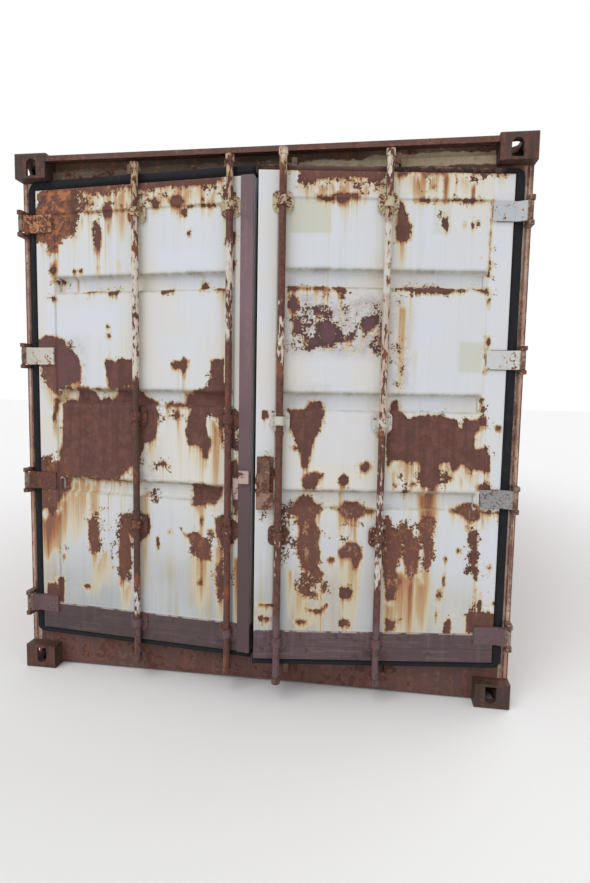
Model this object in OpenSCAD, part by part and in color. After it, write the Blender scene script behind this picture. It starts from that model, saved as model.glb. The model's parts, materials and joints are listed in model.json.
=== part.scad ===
// Twenty-foot general-purpose shipping container, doors standing ajar, all sizes in millimetres.
// X runs along the container and out of the doorway, Y to the right of someone who faces the doors,
// Z up. The origin is the middle of the base, level with the undersides of the bottom castings.

/* [Overall] */
// Length over the corner castings
length = 6058; // [5000:1:7000]
// Width over the corner castings
width = 2438; // [2200:1:2600]
// Height over the corner castings
height = 2591; // [2400:1:2900]
// How far the rails, posts and walls stand back from the faces of the castings
skin_inset = 2; // [1:0.5:6]

/* [Corner castings] */
// Casting size along the container
casting_l = 178; // [170:1:190]
// Casting size across the container
casting_w = 162; // [155:1:175]
// Casting height
casting_h = 118; // [110:1:130]
// Wall with the twistlock aperture
casting_floor = 28; // [22:1:34]
// Walls with the side and end apertures
casting_wall = 16; // [12:1:20]
// Walls towards the container
casting_back = 12; // [8:1:16]
// Twistlock aperture length
slot_l = 124; // [120:0.5:128]
// Twistlock aperture width
slot_w = 63.5; // [60:0.5:68]
// Twistlock aperture centre from the end of the container
slot_from_end = 102.5; // [98:0.5:106]
// Twistlock aperture centre from the side of the container
slot_from_side = 89.5; // [86:0.5:94]
// Side and end aperture height
hook_hole_h = 79.5; // [70:0.5:82]
// Side and end aperture width
hook_hole_w = 51; // [46:0.5:56]
// Side and end aperture, from the casting face nearest the container's middle height
hook_hole_up = 12; // [10:0.5:16]
// Cavity past the upper edges of the side holes
casting_over = 2; // [1:0.5:4]
// Radius of the casting's outer edges
casting_r = 10; // [4:0.5:14]

/* [Base frame] */
// Underside of the base frame above the castings' undersides
base_lift = 12.5; // [10:0.5:18]
// Bottom side rail height
side_rail_h = 162; // [140:1:180]
// Bottom side rail upper flange
side_rail_top = 48; // [40:1:60]
// Bottom side rail lower flange
side_rail_foot = 30; // [20:1:40]
// Bottom rail steel
rail_t = 4.5; // [3:0.5:6]
// Cross member height
member_h = 122; // [100:1:130]
// Cross member flange width
member_w = 45; // [35:1:60]
// Cross member steel
member_t = 4; // [3:0.5:6]
// Number of cross members
member_count = 18; // [12:1:22]
// Floor thickness
floor_t = 28; // [20:1:32]
// Number of floor panels along the container
floor_panels = 5; // [3:1:8]
// Joint between floor panels
floor_joint = 3; // [1:0.5:6]
// Distance between the forklift pockets, centre to centre
pocket_pitch = 2050; // [1800:10:2150]
// Forklift pocket width
pocket_w = 355; // [340:1:380]
// Forklift pocket height
pocket_h = 115; // [105:1:120]
// Forklift pocket steel
pocket_t = 5; // [3:0.5:6]

/* [Upper frame] */
// Top side rail, width and height
top_rail = 60; // [50:1:80]
// Top rail steel
top_rail_t = 3; // [2:0.5:5]
// Roof rails' upper faces below the castings' upper faces
roof_drop = 16; // [12:1:24]
// Front bottom rail depth
front_rail_d = 60; // [50:1:80]

/* [Walls and roof] */
// Wall steel
wall_t = 2; // [1.6:0.1:3]
// Side wall corrugation pitch
side_pitch = 278; // [240:1:300]
// Side wall corrugation depth
side_depth = 36; // [24:1:40]
// Side wall outer flat
side_flat = 72; // [60:1:90]
// Side wall slope, measured along the container
side_slope = 68; // [40:1:70]
// Front wall corrugation pitch
front_pitch = 250; // [220:1:280]
// Front wall corrugation depth
front_depth = 45.6; // [30:0.1:48]
// Front wall outer flat
front_flat = 110; // [90:1:120]
// Front wall slope, measured across the container
front_slope = 18; // [12:1:30]
// Roof corrugation pitch
roof_pitch = 209; // [190:1:240]
// Roof corrugation depth
roof_depth = 20; // [10:1:24]
// Roof flat between corrugations
roof_flat = 91; // [70:1:100]
// Roof slope, measured along the container
roof_slope = 14; // [10:1:24]
// Flat margin at the ends of the roof corrugations
roof_margin = 22; // [12:1:40]
// Slope at the ends of the roof corrugations
roof_end_slope = 34; // [20:1:50]
// Roof corner plate, along and across the container
corner_plate = [230, 250];
// Roof corner plate thickness
corner_plate_t = 3; // [2:0.5:4]

/* [Door end] */
// Corner post width
post_w = 47; // [40:1:60]
// Header height, from the doorway to the roof
header_h = 123; // [110:1:140]
// Threshold above the castings' undersides
threshold = 172; // [160:1:190]
// Front of the posts and header behind the casting faces
frame_setback = 70; // [60:1:80]
// Corner post steel
post_t = 6; // [4:0.5:8]
// Corner post depth
post_d = 108; // [90:1:120]
// Header face height
header_face_h = 69; // [60:1:80]
// Header lip height
lip_h = 25; // [18:1:34]
// Depth of the groove between header face and lip
groove_d = 24; // [14:1:34]
// Front of the header lip behind the casting faces
lip_setback = 3; // [2:0.5:8]

/* [Door leaves] */
// How far the right door stands open, in degrees
right_ajar = 7.8; // [0:0.1:30]
// How far the left door stands open, in degrees
left_ajar = 5.1; // [0:0.1:30]
// Outer face of the closed leaves behind the casting faces
leaf_setback = 48; // [44:1:56]
// Leaf thickness
leaf_t = 50; // [40:1:60]
// Gap between a leaf and the post
leaf_side_gap = 30; // [24:1:36]
// Gap over a leaf
leaf_top_gap = 24; // [20:1:32]
// Gap under a leaf
leaf_foot_gap = 32; // [24:1:40]
// Gap between the closed leaves
meeting_gap = 23; // [18:1:30]
// Middle of that gap to the right of the container's middle
meeting_line = 3.5; // [-6:0.5:6]
// Hinge-side stile width
hinge_stile_w = 100; // [80:1:120]
// Free-edge stile width
free_stile_w = 90; // [70:1:110]
// Stile and rail steel
leaf_tube_t = 3; // [2:0.5:5]
// Top rail height
leaf_top_rail_h = 115; // [90:1:140]
// Bottom rail height
leaf_foot_rail_h = 141; // [110:1:170]
// Panel steel
panel_t = 2; // [1.5:0.1:3]
// Panel behind the face of the stiles
panel_inset = 6; // [2:1:12]
// Middles of the pressed bands below the panel's top
bands_from_top = [346, 895];
// Middles of the pressed bands above the panel's foot
bands_from_foot = [625];
// Pressed band height
band_h = 80; // [60:1:110]
// Pressed band depth
band_depth = 30; // [15:1:34]
// Pressed band slope height
band_slope = 14; // [8:1:24]
// Flat margin at the ends of a pressed band
band_margin = 4; // [2:1:16]
// Slope at the ends of a pressed band
band_end_slope = 16; // [12:1:40]
// Seal flap behind the leaf's outer face
seal_step = 4; // [2:1:8]
// Seal neck beyond the leaf's edge
seal_neck = 14; // [8:1:20]
// Seal on the free edge of the leaf
seal_free_edge = 5; // [3:0.5:7]
// Seal flap width beyond the leaf
seal_flap = 38; // [32:1:42]
// Seal flap thickness
seal_t = 12; // [8:1:14]
// Width of the cover strip on the left leaf's free edge
strip_w = 61; // [40:1:70]
// Thickness of the cover strip
strip_t = 6; // [4:1:10]

/* [Hinges] */
// Hinge pin from the side of the container
pin_from_side = 16; // [15:0.5:20]
// Hinge pin behind the casting faces
pin_setback = 16; // [15:0.5:20]
// Hinge pin radius
pin_r = 8; // [6:0.5:9]
// Running clearance at the pin, on the radius
pin_clear = 0.05; // [0.02:0.01:0.1]
// Knuckle radius
knuckle_r = 14; // [12:0.5:15]
// Middles of the lower hinges above the leaf's foot
hinges_from_foot = [136, 783];
// Middles of the upper hinges below the leaf's top
hinges_from_top = [809, 163];
// Hinge blade height
blade_h = 84; // [70:1:100]
// Hinge blade thickness
blade_t = 10; // [8:1:12]
// Hinge blade reach from the pin
blade_reach = 157; // [130:1:180]
// Where the blade bends up from the leaf's face, from the pin
blade_bend = 52; // [45:1:70]
// Where its back leaves the leaf's face, from the pin
blade_heel = 40; // [30:1:50]
// Radius of the blade's corners
blade_corner = 18; // [8:1:30]
// Lug height, above and below the blade
lug_h = 18; // [12:1:24]
// Gap between blade and lug
lug_gap = 2; // [1:0.5:4]

/* [Locking gear] */
// Locking bar radius
bar_r = 16; // [12:0.5:17]
// Locking bar axis behind the casting faces
bar_setback = 26; // [25:0.5:28]
// Inner locking bar from the free edge of its leaf
bar_from_edge = 108; // [95:1:125]
// Outer locking bar from the hinge edge of its leaf
outer_bar_from_edge = 553; // [520:1:580]
// Upper ends of the bars above the doorway
bar_above = 60; // [50:1:66]
// Lower ends of the bars below the threshold
bar_below = 74; // [66:1:80]
// Cam height
cam_h = 30; // [24:1:34]
// Cam nose length from the bar's axis
cam_reach = 36; // [32:0.5:37]
// Cam nose width
cam_w = 24; // [20:1:26]
// Collar radius on the bars
collar_r = 20; // [18:0.5:21]
// Collar height
collar_h = 14; // [10:1:20]
// Gap between a collar and its bracket
collar_gap = 5; // [5:0.5:8]
// Cam hub radius
cam_hub_r = 20; // [18:0.5:21]
// Clearance between cams and keepers
cam_clear = 5.5; // [5:0.1:7]
// Keeper steel
keeper_t = 7; // [6:0.5:9]
// Room between a keeper's leg and the cam's reach, beyond the cam's clearance
keeper_room = 2; // [1:0.5:4]
// Keeper height
keeper_h = 44; // [36:1:52]
// Height of a bracket's strap round the bar
bracket_h = 40; // [30:1:60]
// Height of a bracket's base
bracket_base_h = 92; // [70:1:96]
// Radius of the base's corners
bracket_corner = 24; // [10:1:34]
// Bracket base width
bracket_w = 92; // [80:1:94]
// Bracket base thickness
bracket_t = 6; // [4:0.5:6]
// Bracket ring thickness
bracket_ring = 5; // [4:0.5:7]
// Running clearance in the brackets, on the radius
bracket_clear = 1; // [0.5:0.1:2]
// Middles of the lower brackets above the leaf's foot
brackets_from_foot = [96, 596];
// Middles of the upper brackets below the leaf's top
brackets_from_top = [1098, 138];

/* [Catches] */
// Share of the room between the middle brackets that lies below the catch
catch_room_below = 0.38; // [0.2:0.02:0.6]
// Catch base width, on the free-edge stile
catch_w = 76; // [60:1:84]
// Catch base thickness
catch_t = 4; // [3:0.5:6]
// Body of the right catch, across and up
catch_body = [44, 140];
// How far the body stands off the base
catch_body_d = 20; // [14:1:26]
// Knob radius
knob_r = 19; // [14:1:24]
// How far the knob stands off the base
knob_d = 28; // [20:1:32]
// Tongue housing, across and up
catch_box = [76, 78];
// How far the housing stands off the base
catch_box_d = 26; // [20:1:30]
// Housing steel
catch_box_t = 5; // [3:0.5:8]
// Staple on the cover strip, across and up
staple = [50, 60];
// Middle of the staple above the middle of the catches
staple_up = 58; // [50:1:80]
// How far the staple stands off the strip
staple_d = 18; // [12:1:24]
// Plate beside the cover strip, across and up
catch_plate = [26, 104];
// Gap between the plate and the cover strip
catch_plate_gap = 2; // [1:0.5:6]

/* [Hidden] */

$fn = 48;
cut = 1; // overshoot of cutting shapes

half_l = length / 2;
half_w = width / 2;
skin_w = half_w - skin_inset;
rail_top = base_lift + side_rail_h;
roof_z = height - roof_drop;
floor_z = threshold - rail_t;
member_z = floor_z - floor_t - member_h;
pocket_z = floor_z - floor_t - pocket_t - pocket_h;
pocket_edges = [for (end = [-1, 1]) end * pocket_pitch / 2 - pocket_w / 2 - pocket_t];
frame_foot = casting_h;
frame_top = height - casting_h;
opening_w = 2 * (skin_w - post_w);
opening_top = roof_z - header_h;
frame_back = frame_setback + post_d;

leaf_outer = opening_w / 2 - leaf_side_gap;
leaf_foot = threshold + leaf_foot_gap;
leaf_top = opening_top - leaf_top_gap;
leaf_h = leaf_top - leaf_foot;
panel_foot = leaf_foot + leaf_foot_rail_h;
panel_top = leaf_top - leaf_top_rail_h;
pin_x = half_w - pin_from_side;
seal_setback = leaf_setback + seal_step;
bar_top = opening_top + bar_above;
bar_foot = threshold - bar_below;

function heights(low, from_low, top, from_top) =
  concat([for (h = from_low) low + h], [for (h = from_top) top - h]);

hinge_heights = heights(leaf_foot, hinges_from_foot, leaf_top, hinges_from_top);
band_heights = heights(panel_foot, bands_from_foot, panel_top, bands_from_top);
bracket_heights = heights(leaf_foot, brackets_from_foot, leaf_top, brackets_from_top);
catch_high = catch_body[1] + knob_r + catch_box[1] + 2 * catch_t;
catch_room = bracket_heights[2] - bracket_heights[1] - bracket_base_h - catch_high;
catch_z = bracket_heights[1] + bracket_base_h / 2 + catch_room_below * catch_room + catch_box[1] + catch_t;

right = 1;
left = -1;
both = [right, left];

function ajar(side) = side == right ? right_ajar : left_ajar;
function leaf_inner(side) = meeting_gap / 2 + side * meeting_line;
function bar_places(side) = [leaf_inner(side) + bar_from_edge, leaf_outer - outer_bar_from_edge];

// Unit vector, its left normal, a path moved t to its left, and the outline of the sheet between
function unit(v) = v / norm(v);
function left_of(v) = [-v[1], v[0]];
function mitre(a, b) = (left_of(a) + left_of(b)) / (1 + a * b);
function moved(path, t) =
  let (last = len(path) - 1, way = [for (i = [0:last - 1]) unit(path[i + 1] - path[i])])
  [for (i = [0:last]) let (before = way[max(i - 1, 0)], after = way[min(i, last - 1)])
    path[i] + t * mitre(before, after)];
function sheet(path, t) =
  let (back = moved(path, t)) concat(path, [for (i = [len(path) - 1:-1:0]) back[i]]);

// Zigzag path of a corrugated sheet from a to b: flats at depth 0 and at depth d, sloped sides between
function corrugation(a, b, pitch, flat, slope, d) =
  let (count = floor((b - a - flat) / pitch), margin = (b - a - count * pitch - flat) / 2)
  concat([[a, 0]], [for (i = [0:count - 1]) let (s = a + margin + flat + i * pitch)
    each [[s, 0], [s + slope, d], [s + pitch - flat - slope, d], [s + pitch - flat, 0]]], [[b, 0]]);

// Places children in the door end's own axes: X across, Y into the container from the casting faces
module door_end() translate([half_l, 0, 0]) rotate(90) children();

// The same axes at the front end
module front_end() translate([-half_l, 0, 0]) rotate(-90) children();

// Mirrors across the container's length
module at_side(side) mirror([0, side == right ? 0 : 1, 0]) children();

// Door-end axes with X towards the hinges of one leaf, turned open about its pins
module on_leaf(side) door_end() mirror([side == right ? 0 : 1, 0, 0])
  translate([pin_x, pin_setback, 0]) rotate(ajar(side)) translate([-pin_x, -pin_setback, 0]) children();

module box(low, high) translate(low) cube(high - low);

// Upright rectangular tube standing on its low corner
module tube_z(low, high, t) difference() {
  box(low, high);
  box(low + [t, t, -cut], high - [t, t, -cut]);
}

// Rectangle from the origin with that one corner rounded
module one_round(l, w, r) {
  translate([r, 0]) square([l - r, w]);
  translate([0, r]) square([l, w - r]);
  translate([r, r]) circle(r);
}

// Rectangle about the origin with its four corners rounded
module plate(l, w, r) {
  square([l - 2 * r, w], center = true);
  square([l, w - 2 * r], center = true);
  for (x = [-1, 1], y = [-1, 1]) translate([x * (l / 2 - r), y * (w / 2 - r)]) circle(r);
}

// Space over a pressed face: troughs along Y follow path in X and Z, closed by the ends' path in Y and Z
module pressed_space(path, ends, lid, over) {
  first = path[0][0] - over;
  last = path[len(path) - 1][0] + over;
  low = ends[0][0] - over;
  high = ends[len(ends) - 1][0] + over;
  level = path[0][1];
  intersection() {
    translate([0, high, 0]) rotate([90, 0, 0]) linear_extrude(high - low)
      polygon(concat([[first, lid], [first, level]], path, [[last, level], [last, lid]]));
    translate([first, 0, 0]) rotate([90, 0, 90]) linear_extrude(last - first)
      polygon(concat([[low, lid], [low, level]], ends, [[high, level], [high, lid]]));
  }
}

module pressed_sheet(path, ends, t) difference() {
  pressed_space(path, ends, t, 0);
  pressed_space(moved(path, t), moved(ends, t), t + cut, cut);
}

// Path over one trough's ends from a to b
function trough_ends(a, b, margin, slope, d) =
  [[a, 0], [a + margin, 0], [a + margin + slope, -d], [b - margin - slope, -d], [b - margin, 0], [b, 0]];

module stadium(l, w) {
  square([l - w, w], center = true);
  for (e = [-1, 1]) translate([e * (l - w) / 2, 0]) circle(d = w);
}

// Arched hole, flat side at the bottom
module arch(w, h) {
  translate([-w / 2, 0]) square([w, h - w / 2]);
  translate([0, h - w / 2]) circle(d = w);
}

// Casting with its apertures down, its outer corner at the origin and its body towards +X and +Y
module casting() difference() {
  intersection() {
    linear_extrude(casting_h) one_round(casting_l, casting_w, casting_r);
    rotate([90, 0, 90]) linear_extrude(casting_l) one_round(casting_w, casting_h, casting_r);
    translate([0, casting_w, 0]) rotate([90, 0, 0]) linear_extrude(casting_w)
      one_round(casting_l, casting_h, casting_r);
  }
  translate([casting_wall, casting_wall, casting_floor])
    cube([casting_l - casting_wall - casting_back, casting_w - casting_wall - casting_back,
      casting_h - casting_floor - hook_hole_up + casting_over]);
  translate([slot_from_end, slot_from_side, -cut])
    linear_extrude(casting_floor + 2 * cut) stadium(slot_l, slot_w);
  translate([-cut, slot_from_side, casting_h - hook_hole_up]) rotate([90, 0, 90])
    linear_extrude(casting_wall + 2 * cut) mirror([0, 1]) arch(hook_hole_w, hook_hole_h);
  translate([slot_from_end, -cut, casting_h - hook_hole_up]) rotate([90, 0, 0]) mirror([0, 0, 1])
    linear_extrude(casting_wall + 2 * cut) mirror([0, 1]) arch(hook_hole_w, hook_hole_h);
}

// The two castings of one end at one level
module castings(end, top) color("saddlebrown") for (side = both)
  mirror([end > 0 ? 1 : 0, 0, 0]) at_side(-side) translate([-half_l, -half_w, top ? height : 0])
    mirror([0, 0, top ? 1 : 0]) casting();

module bottom_castings_door() castings(1, false);
module bottom_castings_front() castings(-1, false);
module top_castings_door() castings(1, true);
module top_castings_front() castings(-1, true);

module door_post(side) color("saddlebrown") door_end() mirror([side == right ? 0 : 1, 0, 0])
  tube_z([opening_w / 2, frame_setback, frame_foot], [skin_w, frame_back, frame_top], post_t);

front_post_low = [skin_w - top_rail, skin_inset, frame_foot];
front_post_high = [skin_w, casting_l - skin_inset, frame_top];

module front_posts() color("saddlebrown") front_end() for (side = [0, 1]) mirror([side, 0, 0])
  tube_z(front_post_low, front_post_high, post_t);

// Header: a face, a groove above it, and a flat top
module door_header() color("wheat") door_end() {
  low = opening_top;
  face_top = low + header_face_h;
  half = half_w - casting_w;
  translate([-half, 0, 0]) rotate([90, 0, 90]) linear_extrude(2 * half) difference() {
    polygon([[frame_setback, low], [frame_setback, face_top], [frame_setback + groove_d, face_top],
      [frame_setback + groove_d, roof_z], [frame_back, roof_z], [frame_back, low]]);
    translate([frame_setback + groove_d + rail_t, low + rail_t])
      square([post_d - groove_d - 2 * rail_t, roof_z - low - 2 * rail_t]);
  }
  for (side = [0, 1]) mirror([side, 0, 0])
    box([half, frame_setback, low], [opening_w / 2, frame_back, frame_top]);
}

// Folded lip that throws rain clear of the doors
module header_lip() color("saddlebrown") door_end() {
  half = half_w - casting_w;
  translate([-half, 0, 0]) rotate([90, 0, 90]) linear_extrude(2 * half)
    polygon(sheet([[lip_setback, roof_z - lip_h], [lip_setback, roof_z],
      [frame_setback + groove_d, roof_z]], -rail_t));
}

// Sill: a channel whose upper flange is the threshold
module door_sill() color("saddlebrown") door_end() {
  half = half_w - casting_w;
  translate([-half, 0, 0]) rotate([90, 0, 90]) linear_extrude(2 * half)
    polygon(sheet([[frame_back, base_lift], [frame_setback, base_lift],
      [frame_setback, threshold], [frame_back, threshold]], -rail_t));
  for (side = [0, 1]) mirror([side, 0, 0])
    box([half, frame_setback, frame_foot], [opening_w / 2, frame_back, threshold]);
}

// Front top rail with a flat plate behind it, from casting to casting
module front_top_rail() color("saddlebrown") front_end() {
  half = half_w - casting_w;
  inner = skin_inset + top_rail;
  translate([-half, 0, 0]) rotate([90, 0, 90]) linear_extrude(2 * half) difference() {
    polygon([[skin_inset, roof_z - top_rail], [skin_inset, roof_z + corner_plate_t],
      [casting_l, roof_z + corner_plate_t], [casting_l, roof_z], [inner, roof_z], [inner, roof_z - top_rail]]);
    translate([skin_inset + top_rail_t, roof_z - top_rail + top_rail_t]) square(top_rail - 2 * top_rail_t);
  }
}

module front_bottom_rail() color("saddlebrown") front_end() {
  half = half_w - casting_w;
  translate([-half, 0, 0]) rotate([90, 0, 90]) linear_extrude(2 * half)
    polygon(sheet([[front_rail_d, base_lift], [skin_inset, base_lift], [skin_inset, rail_top],
      [front_rail_d, rail_top]], -rail_t));
}

module top_side_rails() color("saddlebrown") for (side = both) at_side(side)
  translate([-half_l + casting_l, 0, 0]) rotate([90, 0, 90]) linear_extrude(length - 2 * casting_l)
    difference() {
      translate([skin_w - top_rail, roof_z - top_rail]) square(top_rail);
      translate([skin_w - top_rail + top_rail_t, roof_z - top_rail + top_rail_t])
        square(top_rail - 2 * top_rail_t);
    }

// Channel rail, open towards the floor, with a cut-out at each forklift pocket
module bottom_rail(side) color("saddlebrown") at_side(side) difference() {
  translate([-half_l + casting_l, 0, 0]) rotate([90, 0, 90]) linear_extrude(length - 2 * casting_l)
    polygon(sheet([[skin_w - side_rail_foot, base_lift], [skin_w, base_lift], [skin_w, rail_top],
      [skin_w - side_rail_top, rail_top]], rail_t));
  for (x = pocket_edges)
    box([x, skin_w - side_rail_foot - cut, base_lift - cut],
      [x + pocket_w + 2 * pocket_t, skin_w + cut, pocket_z + pocket_h + pocket_t]);
}

module side_wall(side) color("lightgray") at_side(side)
  translate([0, skin_w, rail_top]) linear_extrude(roof_z - top_rail - rail_top)
    polygon(sheet(corrugation(-half_l + casting_l, half_l - frame_back, side_pitch, side_flat,
      side_slope, -side_depth), -wall_t));

// Clears the upper front castings' corners
module front_casting_corners() front_end() for (side = [0, 1]) mirror([side, 0, 0])
  box([half_w - casting_w, -cut, frame_top], [half_w, casting_l, height]);

module front_wall() color("lightgray") difference() {
  front_end() translate([0, skin_inset, rail_top]) linear_extrude(roof_z - top_rail - rail_top)
    polygon(sheet(corrugation(top_rail - skin_w, skin_w - top_rail, front_pitch, front_flat,
      front_slope, front_depth), wall_t));
  front_casting_corners();
}

// Sheet with closed corrugations between the top rails, flat margins on them and a plate at each corner
module roof_panel() color("gray") {
  inner = skin_w - top_rail;
  brim = skin_w - top_rail_t;
  plates = half_l - casting_l;
  translate([0, 0, roof_z])
    pressed_sheet(corrugation(-plates, half_l - frame_back, roof_pitch, roof_flat, roof_slope, -roof_depth),
      trough_ends(-inner, inner, roof_margin, roof_end_slope, roof_depth), wall_t);
  for (side = both) at_side(side) {
    box([-plates, inner, roof_z], [plates, brim, roof_z + wall_t]);
    for (x = [-plates, plates - corner_plate[0]])
      translate([x, brim - corner_plate[1], roof_z + wall_t])
        cube([corner_plate[0], corner_plate[1], corner_plate_t]);
  }
}

module floor_panels_ply() color("tan") {
  from = -half_l + front_rail_d;
  to = half_l - frame_back;
  step = (to - from + floor_joint) / floor_panels;
  half = skin_w - side_rail_top;
  difference() {
    for (i = [0:floor_panels - 1])
      box([from + i * step, -half, floor_z - floor_t], [from + (i + 1) * step - floor_joint, half, floor_z]);
    front_end() for (side = [0, 1]) mirror([side, 0, 0]) box(front_post_low, front_post_high);
  }
}

// Channels from rail to rail, none where a forklift pocket runs
module cross_members() color("saddlebrown") {
  from = -half_l + casting_l + member_w;
  to = half_l - frame_back - 2 * member_w;
  half = skin_w - rail_t;
  for (i = [0:member_count - 1]) {
    x = from + i * (to - from) / (member_count - 1);
    if (min([for (end = [-1, 1]) abs(x + member_w / 2 - end * pocket_pitch / 2)])
        > pocket_w / 2 + pocket_t + member_w)
      translate([x, half, member_z]) rotate([90, 0, 0]) linear_extrude(2 * half)
        polygon(sheet([[member_w, 0], [0, 0], [0, member_h], [member_w, member_h]], -member_t));
  }
}

module forklift_pockets() color("saddlebrown") for (x = pocket_edges)
  translate([x, skin_w, pocket_z - pocket_t]) rotate([90, 0, 0]) linear_extrude(2 * skin_w) difference() {
    square([pocket_w + 2 * pocket_t, pocket_h + 2 * pocket_t]);
    translate([pocket_t, pocket_t]) square([pocket_w, pocket_h]);
  }

// Lug outline in plan: round at the pin, straight back to the post
module lug_outline() {
  translate([pin_x, pin_setback]) circle(knuckle_r);
  translate([pin_x - knuckle_r, pin_setback]) square([2 * knuckle_r, frame_setback - pin_setback]);
}

// Two lugs on the post for each hinge, with the pin fixed in them
module hinge_lugs(side) color("saddlebrown") door_end() mirror([side == right ? 0 : 1, 0, 0])
  for (z = hinge_heights) {
    for (up = [0, 1]) translate([0, 0, z]) mirror([0, 0, up]) translate([0, 0, blade_h / 2 + lug_gap])
      linear_extrude(lug_h) lug_outline();
    translate([pin_x, pin_setback, z - blade_h / 2 - lug_gap - lug_h])
      cylinder(r = pin_r, h = blade_h + 2 * lug_gap + 2 * lug_h);
  }

// Keeper in plan, its lip over the nose of a cam that points along +X from the origin at the bar's axis
module keeper_outline() {
  leg = cam_reach + cam_clear + keeper_room;
  lip_front = -cam_w / 2 - cam_clear - keeper_t;
  translate([leg, lip_front]) square([keeper_t, frame_setback - bar_setback - lip_front]);
  translate([cam_hub_r + cam_clear + keeper_room / 2, lip_front])
    square([leg - cam_hub_r - cam_clear, keeper_t]);
}

module keepers(z) color("sienna") door_end() for (side = [right, left])
  mirror([side == right ? 0 : 1, 0, 0]) for (x = bar_places(side))
    translate([x, bar_setback, z]) linear_extrude(keeper_h) keeper_outline();

module header_keepers() keepers(bar_top - cam_h / 2 - keeper_h / 2);
module sill_keepers() keepers(bar_foot + cam_h / 2 - keeper_h / 2);

module leaf_stiles(side) color("gainsboro") on_leaf(side)
  for (x = [[leaf_inner(side), leaf_inner(side) + free_stile_w], [leaf_outer - hinge_stile_w, leaf_outer]])
    tube_z([x[0], leaf_setback, leaf_foot], [x[1], leaf_setback + leaf_t, leaf_top], leaf_tube_t);

module leaf_rails(side) color("gainsboro") on_leaf(side) {
  from = leaf_inner(side) + free_stile_w;
  span = leaf_outer - hinge_stile_w - from;
  for (z = [[leaf_foot, panel_foot], [panel_top, leaf_top]])
    translate([from, 0, 0]) rotate([90, 0, 90]) linear_extrude(span) difference() {
      translate([leaf_setback, z[0]]) square([leaf_t, z[1] - z[0]]);
      translate([leaf_setback + leaf_tube_t, z[0] + leaf_tube_t])
        square([leaf_t - 2 * leaf_tube_t, z[1] - z[0] - 2 * leaf_tube_t]);
    }
}

// Panel between stiles and rails, with closed bands pressed inwards
module leaf_panel(side) color("whitesmoke") on_leaf(side) {
  high = leaf_outer - hinge_stile_w;
  span = high - leaf_inner(side) - free_stile_w;
  bands = [for (m = [band_heights[0], band_heights[2], band_heights[1]])
    each [[m - band_h / 2, 0], [m - band_h / 2 + band_slope, -band_depth],
      [m + band_h / 2 - band_slope, -band_depth], [m + band_h / 2, 0]]];
  translate([high, leaf_setback + panel_inset + panel_t, 0]) rotate([90, -90, 0])
    pressed_sheet(concat([[panel_foot, 0]], bands, [[panel_top, 0]]),
      trough_ends(0, span, band_margin, band_end_slope, band_depth), panel_t);
}

// Rectangular ring round the leaf: out to reach beyond it, between two depths
module seal_ring(side, reach, from, to) difference() {
  box([leaf_inner(side) - seal_free_edge, from, leaf_foot - reach],
    [leaf_outer + reach, to, leaf_top + reach]);
  box([leaf_inner(side), from - cut, leaf_foot], [leaf_outer, to + cut, leaf_top]);
}

// Rubber seal: a neck on the leaf's edge, an outer flap over the frame and an inner lip in the gap
module leaf_seal(side) color("#1c1c1c") on_leaf(side) {
  back = leaf_setback + leaf_t;
  seal_ring(side, seal_neck, seal_setback, back);
  seal_ring(side, seal_flap, seal_setback, seal_setback + seal_t);
}

// Hinge blade in plan: flat on the leaf's face, drawn in to the knuckle round the pin
module blade_outline() difference() {
  face = leaf_setback;
  union() {
    translate([pin_x, pin_setback]) circle(knuckle_r);
    polygon([[pin_x - blade_reach, face], [pin_x - blade_reach, face - blade_t],
      [pin_x - blade_bend, face - blade_t], [pin_x - knuckle_r, pin_setback],
      [pin_x - 0.4 * knuckle_r, pin_setback + 0.85 * knuckle_r], [pin_x - blade_heel, face]]);
  }
  translate([pin_x, pin_setback]) circle(pin_r + pin_clear);
}

module hinge_blades(side) color("sienna") on_leaf(side) for (z = hinge_heights) intersection() {
  translate([0, 0, z - blade_h / 2]) linear_extrude(blade_h) blade_outline();
  translate([pin_x + knuckle_r - blade_reach, leaf_setback, z]) rotate([90, 0, 0])
    linear_extrude(2 * leaf_setback) plate(2 * blade_reach - 2 * knuckle_r, blade_h, blade_corner);
}

// A bracket at the bar's axis: a strap round the bar on a base that lies on the leaf's face
module bracket() difference() {
  base = leaf_setback - bar_setback;
  union() {
    translate([0, 0, -bracket_h / 2]) linear_extrude(bracket_h) circle(bar_r + bracket_clear + bracket_ring);
    translate([0, base, 0]) rotate([90, 0, 0]) linear_extrude(bracket_t)
      plate(bracket_w, bracket_base_h, bracket_corner);
  }
  translate([0, 0, -bracket_base_h]) cylinder(r = bar_r + bracket_clear, h = 2 * bracket_base_h);
  translate([-bracket_w, base, -bracket_h]) cube([2 * bracket_w, bar_r, 2 * bracket_h]);
}

// Pad between the panel and the base of a bracket that lies over it
module bracket_pad() rotate([90, 0, 0]) linear_extrude(panel_inset)
  plate(bracket_w - bracket_corner, bracket_base_h - bracket_corner, bracket_corner / 2);

module bar_brackets(side) color("silver") on_leaf(side) for (i = [0, 1], z = bracket_heights)
  translate([bar_places(side)[i], 0, z]) {
    translate([0, bar_setback, 0]) bracket();
    if (i == 1 && z - bracket_base_h / 2 > panel_foot && z + bracket_base_h / 2 < panel_top)
      translate([0, leaf_setback + panel_inset, 0]) bracket_pad();
  }

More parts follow.
